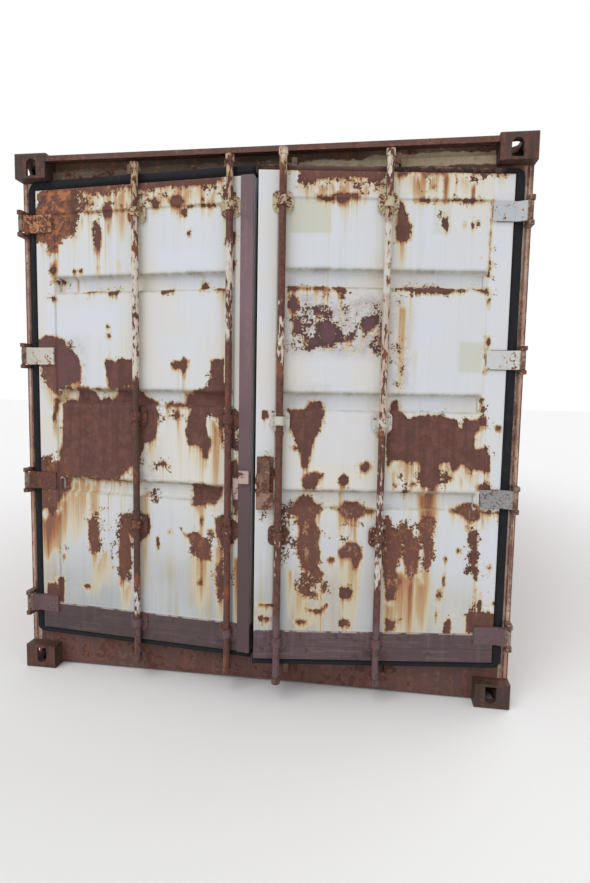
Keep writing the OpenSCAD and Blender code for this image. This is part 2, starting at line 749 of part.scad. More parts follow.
// Locking bar with a cam at each end, round noses towards the frame, and a collar at two brackets
module locking_bar(side, i) color("peru") on_leaf(side) translate([bar_places(side)[i], bar_setback, 0]) {
  translate([0, 0, bar_foot]) cylinder(r = bar_r, h = bar_top - bar_foot);
  for (z = [bar_foot, bar_top - cam_h]) translate([0, 0, z]) linear_extrude(cam_h) {
    circle(cam_hub_r);
    translate([-cam_w / 2, 0]) square([cam_w, cam_reach - cam_w / 2]);
    translate([0, cam_reach - cam_w / 2]) circle(d = cam_w);
  }
  for (j = [0, 1]) translate([0, 0, bracket_heights[j + 1]]) mirror([0, 0, j])
    translate([0, 0, bracket_base_h / 2 + collar_gap]) cylinder(r = collar_r, h = collar_h);
}

module left_cover_strip() color("brown") on_leaf(left)
  box([leaf_inner(left), leaf_setback - strip_t, leaf_foot],
    [leaf_inner(left) + strip_w, leaf_setback, leaf_top]);

// Catch on the right leaf: a base, a round-headed body, a knob and the housing of a tongue under it
module right_catch() color("peru") on_leaf(right)
  translate([leaf_inner(right) + free_stile_w / 2, leaf_setback, catch_z]) rotate([90, 0, 0]) {
    neck = catch_body[1] - catch_body[0] / 2;
    top = catch_body[1] + knob_r;
    low = [-catch_box[0] / 2, -catch_box[1], 0];
    translate([0, (top - catch_box[1]) / 2]) linear_extrude(catch_t)
      plate(catch_w, top + catch_box[1] + 2 * catch_t, catch_t);
    linear_extrude(catch_t + catch_body_d) {
      translate([-catch_body[0] / 2, 0]) square([catch_body[0], neck]);
      translate([0, neck]) circle(d = catch_body[0]);
    }
    translate([0, catch_body[1], 0]) cylinder(r = knob_r, h = catch_t + knob_d);
    difference() {
      box(low, [-low[0], 0, catch_t + catch_box_d]);
      box([low[0] + catch_box_t, low[1] - cut, catch_t],
        [-low[0] - catch_box_t, -catch_box_t, catch_t + catch_box_d - catch_box_t]);
    }
  }

// Staple on the cover strip and the plate beside the strip
module left_catch() color("rosybrown") on_leaf(left) {
  middle = leaf_inner(left) + strip_w / 2;
  translate([middle, leaf_setback - strip_t, catch_z + staple_up]) rotate([90, 0, 0]) difference() {
    linear_extrude(staple_d) plate(staple[0], staple[1], catch_t);
    translate([-staple[0], catch_box_t - staple[1] / 2, catch_box_t])
      cube([2 * staple[0], staple[1] - 2 * catch_box_t, staple_d - 2 * catch_box_t]);
  }
  translate([leaf_inner(left) + strip_w + catch_plate_gap, leaf_setback - catch_t,
    catch_z - catch_plate[1] / 2]) cube([catch_plate[0], catch_t, catch_plate[1]]);
}

bottom_castings_door();
bottom_castings_front();
top_castings_door();
top_castings_front();
door_post(right);  // door_post_right
door_post(left);  // door_post_left
front_posts();
door_header();
header_lip();
door_sill();
front_top_rail();
front_bottom_rail();
top_side_rails();
bottom_rail(right);  // bottom_rail_right
bottom_rail(left);  // bottom_rail_left
side_wall(right);  // side_wall_right
side_wall(left);  // side_wall_left
front_wall();
roof_panel();
floor_panels_ply();
cross_members();
forklift_pockets();
hinge_lugs(right);  // hinge_lugs_right
hinge_lugs(left);  // hinge_lugs_left
header_keepers();
sill_keepers();
leaf_stiles(right);  // right_stiles
leaf_rails(right);  // right_rails
leaf_panel(right);  // right_panel
leaf_seal(right);  // right_seal
hinge_blades(right);  // right_hinge_blades
bar_brackets(right);  // right_bar_brackets
right_catch();
leaf_stiles(left);  // left_stiles
leaf_rails(left);  // left_rails
leaf_panel(left);  // left_panel
leaf_seal(left);  // left_seal
hinge_blades(left);  // left_hinge_blades
bar_brackets(left);  // left_bar_brackets
left_cover_strip();
left_catch();
locking_bar(right, 0);  // right_inner_bar
locking_bar(right, 1);  // right_outer_bar
locking_bar(left, 0);  // left_inner_bar
locking_bar(left, 1);  // left_outer_bar
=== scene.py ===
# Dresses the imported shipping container: skins, paint, rust, rubber and small fittings.
# Metres in the frame's own axes: X out of the doorway, Y to the right of someone facing the doors, Z up.
import json
import math

import bpy
import numpy as np
from mathutils import Matrix, Vector


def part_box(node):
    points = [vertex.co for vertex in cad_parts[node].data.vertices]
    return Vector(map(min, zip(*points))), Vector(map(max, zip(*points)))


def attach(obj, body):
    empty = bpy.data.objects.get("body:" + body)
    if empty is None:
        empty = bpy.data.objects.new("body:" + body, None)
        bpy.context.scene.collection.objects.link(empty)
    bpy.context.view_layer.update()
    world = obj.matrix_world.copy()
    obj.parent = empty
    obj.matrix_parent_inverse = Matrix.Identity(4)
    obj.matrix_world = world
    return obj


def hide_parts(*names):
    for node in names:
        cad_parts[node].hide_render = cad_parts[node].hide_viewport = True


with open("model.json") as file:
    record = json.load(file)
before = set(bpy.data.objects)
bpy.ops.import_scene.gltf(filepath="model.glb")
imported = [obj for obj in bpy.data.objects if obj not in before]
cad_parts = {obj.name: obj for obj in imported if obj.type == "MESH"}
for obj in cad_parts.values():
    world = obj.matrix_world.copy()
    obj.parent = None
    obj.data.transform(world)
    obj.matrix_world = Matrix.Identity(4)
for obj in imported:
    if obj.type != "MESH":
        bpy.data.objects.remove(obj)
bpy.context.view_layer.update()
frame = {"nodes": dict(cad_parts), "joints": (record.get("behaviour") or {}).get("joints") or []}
rng = np.random.default_rng(20)
mm = 0.001
print("frame loaded")


# Shader sums: a Wire is one output of a node, and sums written on it add their nodes
class Wire:
    def __init__(self, finish, socket):
        self.finish = finish
        self.socket = socket

    def __add__(self, other):
        return self.finish.sum("ADD", self, other)

    def __sub__(self, other):
        return self.finish.sum("SUBTRACT", self, other)

    def __rsub__(self, other):
        return self.finish.sum("SUBTRACT", other, self)

    def __mul__(self, other):
        return self.finish.sum("MULTIPLY", self, other)

    def __neg__(self):
        return self.finish.sum("MULTIPLY", self, -1.0)

    __radd__ = __add__
    __rmul__ = __mul__

    def atLeast(self, other):
        return self.finish.sum("MAXIMUM", self, other)

    def size(self):
        return self.finish.sum("ABSOLUTE", self)

    def rise(self, low, high):  # 0 below low, 1 above high, smooth between
        settings = {"interpolation_type": "SMOOTHSTEP"}
        return self.finish.node("MapRange", settings, {"Value": self, "From Min": low, "From Max": high})

    def fall(self, low, high):
        return 1.0 - self.rise(low, high)

    def between(self, low, high, soft):
        return self.rise(low - soft, low + soft) * self.fall(high - soft, high + soft)


# One material: node() adds any node from its type, its settings and what its sockets take
class Finish:
    def __init__(self, name):
        self.material = bpy.data.materials.new(name)
        self.material.use_nodes = True
        self.tree = self.material.node_tree
        self.tree.nodes.clear()
        self.place = self.node("TexCoord", {}, {}, "Object")
        split = self.node("SeparateXYZ", {}, {"Vector": self.place}, None)
        self.x, self.y, self.z = (Wire(self, split.outputs[i]) for i in range(3))

    def node(self, kind, settings, sockets, output=0):
        made = self.tree.nodes.new("ShaderNode" + kind)
        for name, value in settings.items():
            setattr(made, name, value)
        for name, value in sockets.items():
            socket = made.inputs[name]
            if isinstance(value, Wire):
                self.tree.links.new(value.socket, socket)
            else:
                socket.default_value = value
        return made if output is None else Wire(self, made.outputs[output])

    def sum(self, operation, *inputs):
        return self.node("Math", {"operation": operation}, dict(enumerate(inputs)))

    def attribute(self, name, output="Fac"):
        return self.node("Attribute", {"attribute_name": name}, {}, output)

    def noise(self, scale, detail=4.0, rough=0.55, place=None, factors=None, warp=0.0):
        place = place or self.place
        if factors:
            place = self.node("VectorMath", {"operation": "MULTIPLY"}, {0: place, 1: factors})
        sockets = {"Vector": place, "Scale": scale, "Detail": detail, "Roughness": rough, "Distortion": warp}
        return self.node("TexNoise", {}, sockets, 0)

    def cells(self, scale):
        return self.node("TexVoronoi", {}, {"Vector": self.place, "Scale": scale}, "Distance")

    def blend(self, factor, low, high):
        return self.node("Mix", {"data_type": "RGBA", "clamp_factor": True}, {0: factor, 6: low, 7: high}, 2)

    def layers(self, colour, *coats):  # each coat is how much of it there is, and its colour
        for much, over in coats:
            colour = self.blend(much, colour, over)
        return colour

    def bump(self, height, distance, strength):
        return self.node("Bump", {}, {"Height": height, "Distance": distance, "Strength": strength}, "Normal")

    def close(self, colour, rough, normal, specular):
        sockets = {"Base Color": colour, "Roughness": rough, "Specular IOR Level": specular}
        if normal:
            sockets["Normal"] = normal
        surface = self.node("BsdfPrincipled", {}, sockets, 0)
        self.node("OutputMaterial", {}, {"Surface": surface}, None)
        return self.material


def tone(red, green, blue):  # a colour as the eye names it, 0 to 255
    def straight(v):
        v /= 255
        return v / 12.92 if v <= 0.04045 else ((v + 0.055) / 1.055) ** 2.4
    return (straight(red), straight(green), straight(blue), 1.0)


tones = {
    "coolWhite": tone(208, 211, 217),
    "warmWhite": tone(213, 209, 201),
    "cream": tone(205, 193, 162),
    "tan": tone(180, 144, 100),
    "orange": tone(156, 92, 56),
    "redRust": tone(112, 73, 64),
    "brownRust": tone(92, 60, 52),
    "darkRust": tone(62, 42, 37),
    "plum": tone(96, 68, 70),
    "maroon": tone(92, 73, 77),
    "paleMaroon": tone(120, 98, 103),
    "dirt": tone(92, 82, 70),
    "olive": tone(112, 102, 78),
    "blackSteel": tone(52, 46, 44),
}


def addObject(name, data):
    added = bpy.data.objects.new(name, data)
    bpy.context.scene.collection.objects.link(added)
    return added


# Meshes: every piece is made where it lies at rest, and its own place is the origin
def pieceFrom(name, verts, faces, body, finish, smooth=True):
    mesh = bpy.data.meshes.new(name)
    mesh.from_pydata([tuple(map(float, v)) for v in verts], [], [tuple(f) for f in faces])
    mesh.update()
    if smooth:
        mesh.polygons.foreach_set("use_smooth", [True] * len(mesh.polygons))
    piece = addObject(name, mesh)
    mesh.materials.append(finish)
    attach(piece, body)
    return piece


def addValues(piece, name, values, kind="FLOAT", field="value"):
    data = piece.data.attributes.new(name, kind, "POINT")
    data.data.foreach_set(field, np.asarray(values, dtype=np.float32).ravel())


def flipped(faces, flip):
    return [face[::-1] for face in faces] if flip else faces


def lines(stops, step):  # lines through all the stops, at most a step apart
    found = []
    for low, high in zip(stops, stops[1:]):
        count = max(1, math.ceil((high - low) / step))
        found += [low + (high - low) * i / count for i in range(count)]
    return np.array(found + [stops[-1]])


def gridFaces(columns, rows):
    starts = (j * columns + i for j in range(rows - 1) for i in range(columns - 1))
    return [(a, a + 1, a + columns + 1, a + columns) for a in starts]


def ramp(values, low, high):
    t = np.clip((values - low) / (high - low), 0, 1)
    return t * t * (3 - 2 * t)


# The leaves: one outer skin for stiles, rails and pressed panel, in millimetres of the closed leaf
leaf = {
    "ends": {"right": 15.0, "left": 8.0},
    "hand": {"right": 1, "left": -1},
    "outer": 1140.0, "foot": 204.0, "top": 2428.0, "face": 48.0, "back": 98.0,
    "freeStile": 90.0, "hingeStile": 100.0, "footRail": 141.0, "topRail": 115.0,
    "inset": 6.0, "sheet": 2.0, "step": 1.2, "corner": 4.0,
    "bands": (1967.0, 1418.0, 970.0), "bandHigh": 80.0, "bandDeep": 30.0, "bandSlope": 14.0, "bandEnd": 16.0,
    "bandRows": (-40, -26, 26, 40), "bandStart": 4.0, "buckleRise": 90.0,
    "wave": 1.1, "waveAcross": 83, "waveTilt": 210, "waveUp": 127, "waveShift": 1.3,
    "ripple": 0.7, "rippleAcross": 41, "rippleUp": 97,
    "grid": 8.0, "liningGrid": 24.0, "liningSteps": (1, 5, 21), "liningRim": 2, "liningGap": 1,
    "length": 6058.0,
}
dents = {  # across, up, reach and depth of each
    "right": [(240, 1330, 90, 5), (700, 760, 130, 6), (430, 720, 80, 4), (860, 1250, 160, 4),
              (930, 470, 60, 7)],
    "left": [(860, 1250, 180, 7), (560, 790, 110, 5), (250, 1240, 80, 5), (700, 640, 120, 6)],
}
swings = {joint["name"]: joint for joint in frame["joints"]}


def swungPlaces(side, places):  # closed places across, in and up, in millimetres, to the ajar leaf's metres
    across, inward, up = np.asarray(places, float).T
    closed = np.stack([(leaf["length"] / 2 - inward) * mm, leaf["hand"][side] * across * mm, up * mm], 1)
    joint = swings[side + "_door_swing"]
    pin = np.array(joint["pos_m"])
    turn = Matrix.Rotation(-math.radians(joint["range_deg"][0]), 3, Vector(joint["axis"]))
    return (closed - pin) @ np.array(turn).T + pin


def panelEdges(side):  # across from and to, up from and to
    return (leaf["ends"][side] + leaf["freeStile"], leaf["outer"] - leaf["hingeStile"],
            leaf["foot"] + leaf["footRail"], leaf["top"] - leaf["topRail"])


def bandLines():
    return [middle + step for middle in sorted(leaf["bands"]) for step in leaf["bandRows"]]


# Depth of the skin's face at each place: flush stiles and rails, a set-in panel with three pressed bands
def faceDepth(side, across, up):
    low, high, foot, top = panelEdges(side)
    edge = leaf["step"] / 2
    inside = (across > low + edge) & (across < high - edge) & (up > foot + edge) & (up < top - edge)
    press = np.zeros_like(across)
    for middle in leaf["bands"]:
        press = np.maximum(press, ramp(leaf["bandHigh"] / 2 - abs(up - middle), 0, leaf["bandSlope"]))
    begin, end = leaf["bandStart"], leaf["bandStart"] + leaf["bandEnd"]
    ends = ramp(across - low, begin, end) * ramp(high - across, begin, end)
    slow = np.sin(across / leaf["waveAcross"] + up / leaf["waveTilt"])
    slow = leaf["wave"] * slow * np.sin(up / leaf["waveUp"] + leaf["waveShift"])
    waves = slow + leaf["ripple"] * np.sin(across / leaf["rippleAcross"] - up / leaf["rippleUp"])
    rise = leaf["buckleRise"]
    buckle = ramp(across - low, 0, rise) * ramp(high - across, 0, rise) * waves
    for dentAcross, dentUp, wide, deep in dents[side]:
        buckle = buckle + deep * np.exp(-((across - dentAcross) ** 2 + (up - dentUp) ** 2) / wide ** 2)
    sunk = leaf["face"] + leaf["inset"] + leaf["bandDeep"] * press * ends + buckle
    depth = np.where(inside, sunk, leaf["face"])
    brim = np.minimum.reduce([across - leaf["ends"][side], leaf["outer"] - across,
                              up - leaf["foot"], leaf["top"] - up])
    turned = np.clip(1 - brim / leaf["corner"], 0, 1)
    return depth + leaf["corner"] * (1 - np.sqrt(1 - turned ** 2))


# Rust patches by outline, and spots by middle and half sizes, all listed for each leaf
patches = {
    "right": [
        [(190, 2440), (590, 2440), (560, 2404), (510, 2385), (470, 2408), (400, 2402), (300, 2388),
         (215, 2392)],
        [(270, 2322), (330, 2318), (360, 2340), (460, 2335), (455, 2308), (415, 2300), (395, 2278),
         (350, 2304), (275, 2300)],
        [(622, 2312), (652, 2300), (664, 2250), (690, 2205), (688, 2145), (655, 2128), (625, 2130)],
        [(620, 2440), (880, 2440), (850, 2428), (815, 2418), (690, 2426), (640, 2400), (622, 2410)],
        [(150, 1932), (330, 1932), (340, 1916), (230, 1912), (150, 1908)],
        [(345, 1930), (385, 1928), (415, 1914), (370, 1912)],
        [(710, 1926), (770, 1940), (830, 1942), (870, 1928), (955, 1928), (950, 1920), (860, 1914),
         (800, 1905), (720, 1914)],
        [(985, 1930), (1042, 1936), (1040, 1902), (1015, 1916)],
        [(160, 1382), (238, 1384), (256, 1420), (312, 1420), (326, 1372), (306, 1330), (300, 1290),
         (278, 1235), (266, 1180), (256, 1112), (224, 1114), (216, 1182), (196, 1250), (168, 1310)],
        [(222, 1060), (240, 1086), (292, 1102), (330, 1090), (304, 1052), (288, 1022), (238, 1024)],
        [(620, 1370), (640, 1428), (662, 1424), (672, 1380), (700, 1340), (722, 1346), (760, 1358),
         (800, 1366), (862, 1362), (905, 1346), (950, 1308), (972, 1344), (1022, 1354), (1052, 1372),
         (1066, 1344), (1042, 1300), (1018, 1290), (1010, 1236), (1020, 1214), (1062, 1222), (1082, 1170),
         (1090, 1122), (1062, 1112), (1030, 1124), (1000, 1112), (962, 1142), (930, 1108), (906, 1152),
         (872, 1160), (846, 1144), (852, 1090), (862, 1062), (832, 1028), (784, 1038), (764, 1082),
         (774, 1146), (700, 1156), (640, 1150), (620, 1128)],
        [(160, 902), (200, 948), (222, 980), (262, 978), (292, 942), (326, 926), (296, 902), (300, 862),
         (318, 812), (308, 742), (322, 722), (312, 650), (344, 622), (330, 598), (284, 604), (236, 640),
         (212, 720), (216, 840), (206, 890)],
        [(226, 556), (252, 540), (318, 528), (320, 502), (262, 508), (240, 522)],
        [(262, 446), (318, 444), (356, 480), (366, 470), (332, 428), (290, 430)],
        [(366, 930), (412, 934), (432, 958), (492, 956), (522, 932), (592, 928), (590, 916), (522, 908),
         (492, 878), (482, 852), (470, 880), (440, 878), (412, 914)],
        [(404, 728), (430, 752), (442, 774), (488, 770), (512, 742), (520, 700), (500, 662), (484, 652),
         (470, 694), (412, 698)],
        [(900, 926), (948, 942), (984, 958), (1040, 962), (1062, 930), (1052, 890), (1010, 876),
         (962, 908)],
        [(566, 800), (580, 850), (596, 884), (610, 800), (620, 744), (606, 704), (596, 742), (572, 770)],
        [(620, 890), (642, 884), (656, 826), (672, 784), (690, 790), (700, 742), (694, 706), (676, 660),
         (682, 600), (672, 500), (634, 502), (622, 600), (606, 680), (624, 742)],
        [(682, 852), (714, 872), (726, 832), (742, 850), (754, 800), (774, 792), (782, 722), (774, 640),
         (754, 612), (730, 606), (716, 644), (706, 690), (708, 764), (692, 802)],
        [(794, 905), (834, 900), (838, 860), (826, 800), (846, 762), (838, 700), (822, 652), (806, 662),
         (802, 722), (792, 784), (778, 830)],
        [(1012, 832), (1044, 842), (1048, 700), (1036, 640), (1024, 668), (1028, 760), (1006, 788)],
        [(1010, 436), (1060, 452), (1150, 446), (1166, 352), (1010, 350)],
        [(640, 404), (684, 396), (672, 352), (634, 350)],
    ],
    "left": [
        [(150, 2440), (1060, 2440), (1050, 2412), (1000, 2404), (900, 2412), (820, 2396), (700, 2400),
         (640, 2412), (520, 2396), (420, 2408), (330, 2392), (160, 2410)],
        [(964, 2400), (1060, 2420), (1088, 2380), (1050, 2330), (1090, 2290), (1082, 2190), (1060, 2128),
         (1020, 2130), (1012, 2190), (1000, 2260), (958, 2276), (968, 2320), (1000, 2340)],
        [(772, 2326), (742, 2336), (716, 2326), (724, 2288), (764, 2286)],
        [(512, 2350), (488, 2358), (472, 2330), (484, 2298), (508, 2312)],
        [(430, 2350), (402, 2362), (360, 2364), (342, 2338), (350, 2308), (392, 2300), (426, 2322)],
        [(366, 2302), (336, 2298), (338, 2264), (360, 2262)],
        [(152, 2372), (96, 2352), (108, 2292), (134, 2270), (154, 2282)],
        [(128, 2190), (92, 2182), (96, 2138), (126, 2110), (142, 2150)],
        [(124, 2062), (94, 2052), (102, 2018), (128, 2010)],
        [(1142, 1690), (1102, 1722), (1042, 1716), (1000, 1704), (962, 1652), (922, 1622), (900, 1562),
         (904, 1502), (934, 1482), (1002, 1474), (1052, 1402), (1064, 1300), (1040, 1282), (1030, 1402),
         (1092, 1482), (1122, 1560), (1150, 1640)],
        [(762, 1602), (722, 1592), (662, 1604), (602, 1592), (590, 1462), (752, 1462)],
        [(1022, 1442), (1012, 1402), (1016, 1200), (1036, 1130), (1012, 1050), (992, 1000), (902, 1010),
         (820, 992), (700, 1012), (640, 1062), (588, 1100), (560, 1202), (502, 1222), (480, 1322),
         (500, 1402), (562, 1424), (602, 1490), (702, 1462), (742, 1412), (822, 1404), (862, 1472),
         (932, 1470), (942, 1402), (1000, 1394)],
        [(424, 1582), (402, 1602), (372, 1600), (350, 1622), (320, 1602), (334, 1560), (354, 1524),
         (376, 1562), (402, 1554)],
        [(210, 1592), (150, 1612), (150, 1190), (176, 1332), (232, 1352), (246, 1300), (212, 1212),
         (226, 1132), (250, 1142), (262, 1190), (322, 1202), (342, 1262), (312, 1352), (302, 1372),
         (352, 1382), (350, 1442), (302, 1456), (222, 1480)],
        [(460, 1392), (400, 1402), (352, 1392), (352, 1374), (402, 1372), (420, 1380)],
        [(402, 1362), (372, 1366), (366, 1332), (392, 1330)],
        [(306, 1008), (160, 1006), (164, 962), (190, 916), (300, 910)],
        [(372, 792), (346, 762), (300, 764), (270, 782), (252, 742), (212, 730), (206, 642), (262, 632),
         (302, 652), (300, 722), (322, 742), (352, 752)],
        [(642, 842), (590, 846), (544, 836), (532, 782), (552, 722), (602, 700), (640, 722), (650, 790)],
        [(880, 790), (850, 802), (826, 780), (812, 720), (834, 640), (856, 612), (872, 660)],
        [(700, 560), (712, 640), (694, 760), (660, 820), (640, 700), (640, 600), (660, 520), (690, 480)],
        [(1190, 1060), (1140, 1100), (1100, 1060), (1042, 1092), (1002, 1092), (990, 930), (1030, 900),
         (1046, 840), (1080, 810), (1110, 846), (1190, 800)],
        [(1112, 442), (1024, 446), (1022, 352), (1120, 352)],
        [(500, 732), (484, 742), (480, 690), (494, 672)],
        [(190, 852), (130, 860), (90, 842), (84, 762), (110, 742), (150, 702), (186, 792)],
        [(112, 1120), (84, 1140), (62, 1100), (58, 1010), (66, 900), (84, 880), (96, 940), (120, 980),
         (124, 1060)],
        [(152, 640), (178, 620), (186, 540), (176, 470), (150, 420), (142, 520)],
    ],
}
spots = {  # across, up, half width, half height
    "right": [(780, 2364, 12, 9), (845, 2208, 8, 16), (925, 2208, 7, 12), (962, 2200, 6, 12),
              (986, 2216, 5, 7), (1005, 2068, 6, 8), (1046, 2308, 8, 10), (1042, 1878, 9, 13),
              (1050, 1702, 11, 14), (196, 1204, 11, 8), (522, 1126, 30, 22), (414, 1060, 17, 14),
              (1114, 1312, 16, 13), (58, 1352, 12, 15), (1058, 1038, 27, 17), (370, 684, 18, 15),
              (442, 524, 20, 25), (446, 386, 20, 18), (240, 384, 22, 15), (962, 742, 13, 14),
              (902, 700, 9, 13), (880, 532, 14, 30), (896, 600, 7, 18), (872, 428, 7, 18),
              (1114, 668, 7, 13), (1066, 486, 7, 18), (1044, 430, 8, 18), (1134, 496, 5, 9),
              (300, 296, 22, 9), (450, 256, 10, 13), (634, 232, 14, 20), (1000, 290, 9, 26),
              (690, 590, 12, 7), (930, 372, 15, 36), (70, 400, 24, 7), (340, 544, 7, 10),
              (60, 1142, 26, 22), (100, 1090, 16, 18), (36, 1050, 16, 22), (582, 1264, 10, 14),
              (120, 1648, 9, 16), (660, 1040, 9, 12), (700, 1010, 10, 9), (742, 1050, 13, 11),
              (890, 1080, 20, 8), (180, 1850, 26, 40), (196, 1760, 20, 34), (335, 1730, 34, 44),
              (292, 1812, 18, 14), (515, 1765, 34, 30), (578, 1706, 20, 58), (426, 1700, 22, 16),
              (250, 1690, 26, 12)],
    "left": [(800, 2168, 21, 64), (910, 2346, 24, 9), (252, 2334, 6, 7), (322, 2190, 5, 7),
             (254, 1942, 17, 22), (930, 2030, 7, 6), (894, 2030, 8, 7), (1040, 2046, 14, 22),
             (1012, 1990, 18, 12), (1042, 1900, 9, 10), (745, 1718, 13, 15), (752, 1762, 7, 12),
             (945, 2252, 7, 8), (200, 1592, 12, 12), (270, 520, 13, 12), (260, 826, 7, 12),
             (214, 788, 14, 7), (430, 760, 8, 5), (1018, 588, 8, 16), (500, 924, 12, 10),
             (460, 1100, 12, 9), (1100, 1104, 20, 12), (1040, 462, 12, 16), (880, 446, 16, 12),
             (104, 1300, 18, 40), (100, 1250, 12, 22), (1090, 2350, 24, 32), (1110, 2250, 22, 26)],
}
seams = {  # thin rusty lines: from and to, and half thickness
    "right": [((150, 2432), (1136, 2432), 5), ((1041, 2300), (1041, 1990), 1.5),
              ((1043, 1720), (1043, 1560), 2), ((1040, 1440), (1036, 1390), 4),
              ((1044, 760), (1047, 400), 3), ((700, 2309), (1030, 2311), 1.5), ((30, 470), (118, 462), 4),
              ((640, 1928), (700, 1926), 3), ((960, 922), (1136, 924), 3)],
    "left": [((330, 2309), (172, 2307), 2.5), ((860, 2310), (560, 2309), 2), ((186, 1932), (148, 1926), 6),
             ((228, 1918), (186, 1930), 3), ((742, 1927), (704, 1925), 5), ((460, 1924), (410, 1926), 4),
             ((860, 1934), (760, 1931), 2), ((1030, 1462), (590, 1458), 3), ((840, 1004), (590, 1002), 4)],
}
runs = {  # stains that run down: across, top, length, half width, strength
    "right": [(300, 2392, 90, 34, .95), (342, 2392, 70, 14, .8), (486, 2400, 110, 15, .8),
              (716, 2426, 110, 12, 1.3), (836, 2430, 150, 12, 1.7), (956, 2430, 110, 8, 1.6),
              (880, 2430, 120, 6, .7), (650, 2128, 150, 22, .6), (664, 1900, 430, 18, .75),
              (700, 1900, 330, 8, .4), (815, 1020, 340, 34, 1), (650, 1120, 160, 12, .8),
              (702, 1150, 120, 8, .8), (730, 1120, 130, 8, .6), (890, 1150, 120, 16, .6),
              (960, 1130, 80, 12, .7), (748, 620, 190, 24, .9), (690, 600, 230, 40, .75),
              (812, 660, 260, 30, .6), (288, 600, 90, 32, .9), (180, 640, 280, 16, .7),
              (250, 540, 130, 10, .6), (440, 520, 120, 20, .5), (488, 650, 300, 16, .5),
              (1040, 1440, 120, 8, .5), (1140, 930, 90, 10, .8), (1000, 880, 60, 20, .6),
              (1066, 910, 90, 10, .7), (240, 1110, 60, 18, .7), (416, 1050, 50, 6, .6),
              (350, 1690, 40, 40, .7), (470, 1690, 40, 30, .7), (815, 1050, 270, 42, 1.6),
              (230, 2400, 110, 60, .6), (400, 2400, 90, 46, .75), (545, 2404, 110, 50, .65),
              (700, 2426, 130, 40, .7), (780, 2424, 110, 24, .75), (920, 2424, 90, 30, .6),
              (690, 600, 330, 60, .8), (744, 620, 340, 24, 1.1), (800, 620, 300, 40, .8),
              (650, 500, 190, 36, .85), (720, 640, 300, 100, .78), (280, 460, 110, 50, .5),
              (230, 600, 250, 30, .6), (470, 690, 330, 50, .5), (700, 1150, 130, 70, .7),
              (990, 1120, 90, 60, .6), (640, 2300, 300, 26, .5), (900, 1150, 110, 40, .6)],
    "left": [(936, 2400, 90, 36, 1), (970, 2380, 80, 20, .9), (820, 2396, 80, 30, .6),
             (742, 2286, 90, 14, .9), (885, 2312, 90, 8, .8), (672, 2400, 260, 30, .75),
             (640, 2380, 150, 8, .8), (700, 2380, 160, 8, .7), (340, 2400, 100, 12, .7),
             (1040, 2130, 130, 24, .9), (800, 2110, 90, 14, .7), (1086, 2300, 110, 30, .7),
             (1050, 1300, 120, 20, .8), (1080, 1500, 160, 26, .8), (1104, 830, 250, 40, 1.9),
             (1010, 930, 260, 26, .8), (960, 990, 220, 24, .8), (900, 990, 240, 30, .7),
             (840, 980, 300, 40, .6), (540, 1210, 160, 40, .6), (240, 1130, 60, 30, .6),
             (190, 1330, 160, 26, .7), (276, 910, 80, 30, .8), (264, 640, 110, 36, 1),
             (300, 660, 100, 8, .6), (494, 680, 60, 10, .6), (560, 700, 240, 20, .5),
             (800, 600, 200, 60, .5), (690, 2050, 120, 18, .3), (152, 880, 500, 20, .5),
             (860, 2404, 100, 80, .8), (940, 2300, 120, 50, .6), (260, 640, 290, 44, .85),
             (1060, 880, 240, 56, 1.3), (940, 960, 300, 90, .6), (660, 500, 160, 30, .6),
             (560, 960, 560, 26, .6), (70, 720, 380, 20, 1.1), (160, 760, 420, 26, 1.0),
             (190, 1330, 420, 30, .9), (60, 1260, 300, 18, .8), (480, 2404, 100, 60, .6),
             (330, 2404, 100, 40, .8), (210, 2404, 110, 40, .6)],
}
blotched = {  # where the paint has gone in flecks: low corner, high corner, how much
    "right": [((158, 1640), (592, 1892), .46), ((625, 1480), (690, 1900), .45),
              ((160, 2330), (600, 2430), .34), ((620, 2350), (1060, 2430), .22),
              ((30, 1010), (100, 1150), .6), ((30, 860), (110, 980), .55), ((320, 760), (520, 870), .34),
              ((640, 1020), (900, 1110), .3), ((540, 380), (600, 720), .3), ((110, 640), (200, 960), .6),
              ((900, 2190), (1000, 2230), .3), ((560, 640), (860, 900), .38), ((210, 480), (340, 700), .38),
              ((1000, 640), (1050, 840), .55), ((1030, 1340), (1070, 1420), .5)],
    "left": [((900, 2180), (1140, 2430), .8), ((540, 2330), (930, 2430), .42),
             ((640, 2300), (760, 2400), .3), ((900, 1470), (1140, 1690), .5),
             ((150, 1330), (260, 1560), .5), ((60, 1180), (130, 1360), .55),
             ((960, 1000), (1180, 1110), .5), ((620, 480), (900, 900), .4), ((200, 640), (330, 780), .5),
             ((60, 500), (130, 900), .45), ((480, 900), (640, 1120), .42), ((360, 1320), (480, 1400), .4),
             ((160, 2330), (560, 2420), .22), ((100, 420), (180, 900), .4)],
}
overpaints = {  # newer, greener or whiter paint in squares: low corner, high corner, tint from -1 to 1
    "right": [((152, 2160), (338, 2304), 1), ((782, 2160), (872, 2312), .9),
              ((690, 1640), (860, 1900), -.5), ((390, 2090), (580, 2304), -.35),
              ((160, 2080), (330, 2160), -.35), ((150, 1470), (470, 1640), -.3),
              ((924, 1560), (1030, 1700), .8), ((280, 1130), (560, 1320), -.6),
              ((1048, 420), (1142, 2420), -.75), ((15, 1180), (108, 2420), -.45),
              ((690, 2080), (1040, 2300), -.3)],
    "left": [((200, 2030), (480, 2110), -.8), ((690, 1700), (1100, 1870), -.7),
             ((160, 2320), (640, 2400), .5), ((160, 1480), (560, 1900), -.3),
             ((75, 1100), (108, 2400), -.4), ((1060, 700), (1142, 2100), -.3),
             ((380, 1110), (500, 1320), -.4)],
}
bareWhite = {  # small plates of old pale paint left inside the rust: low corner, high corner
    "right": [],
    "left": [((944, 1394), (1008, 1450)), ((742, 1404), (816, 1450)), ((620, 1470), (680, 1482))],
}
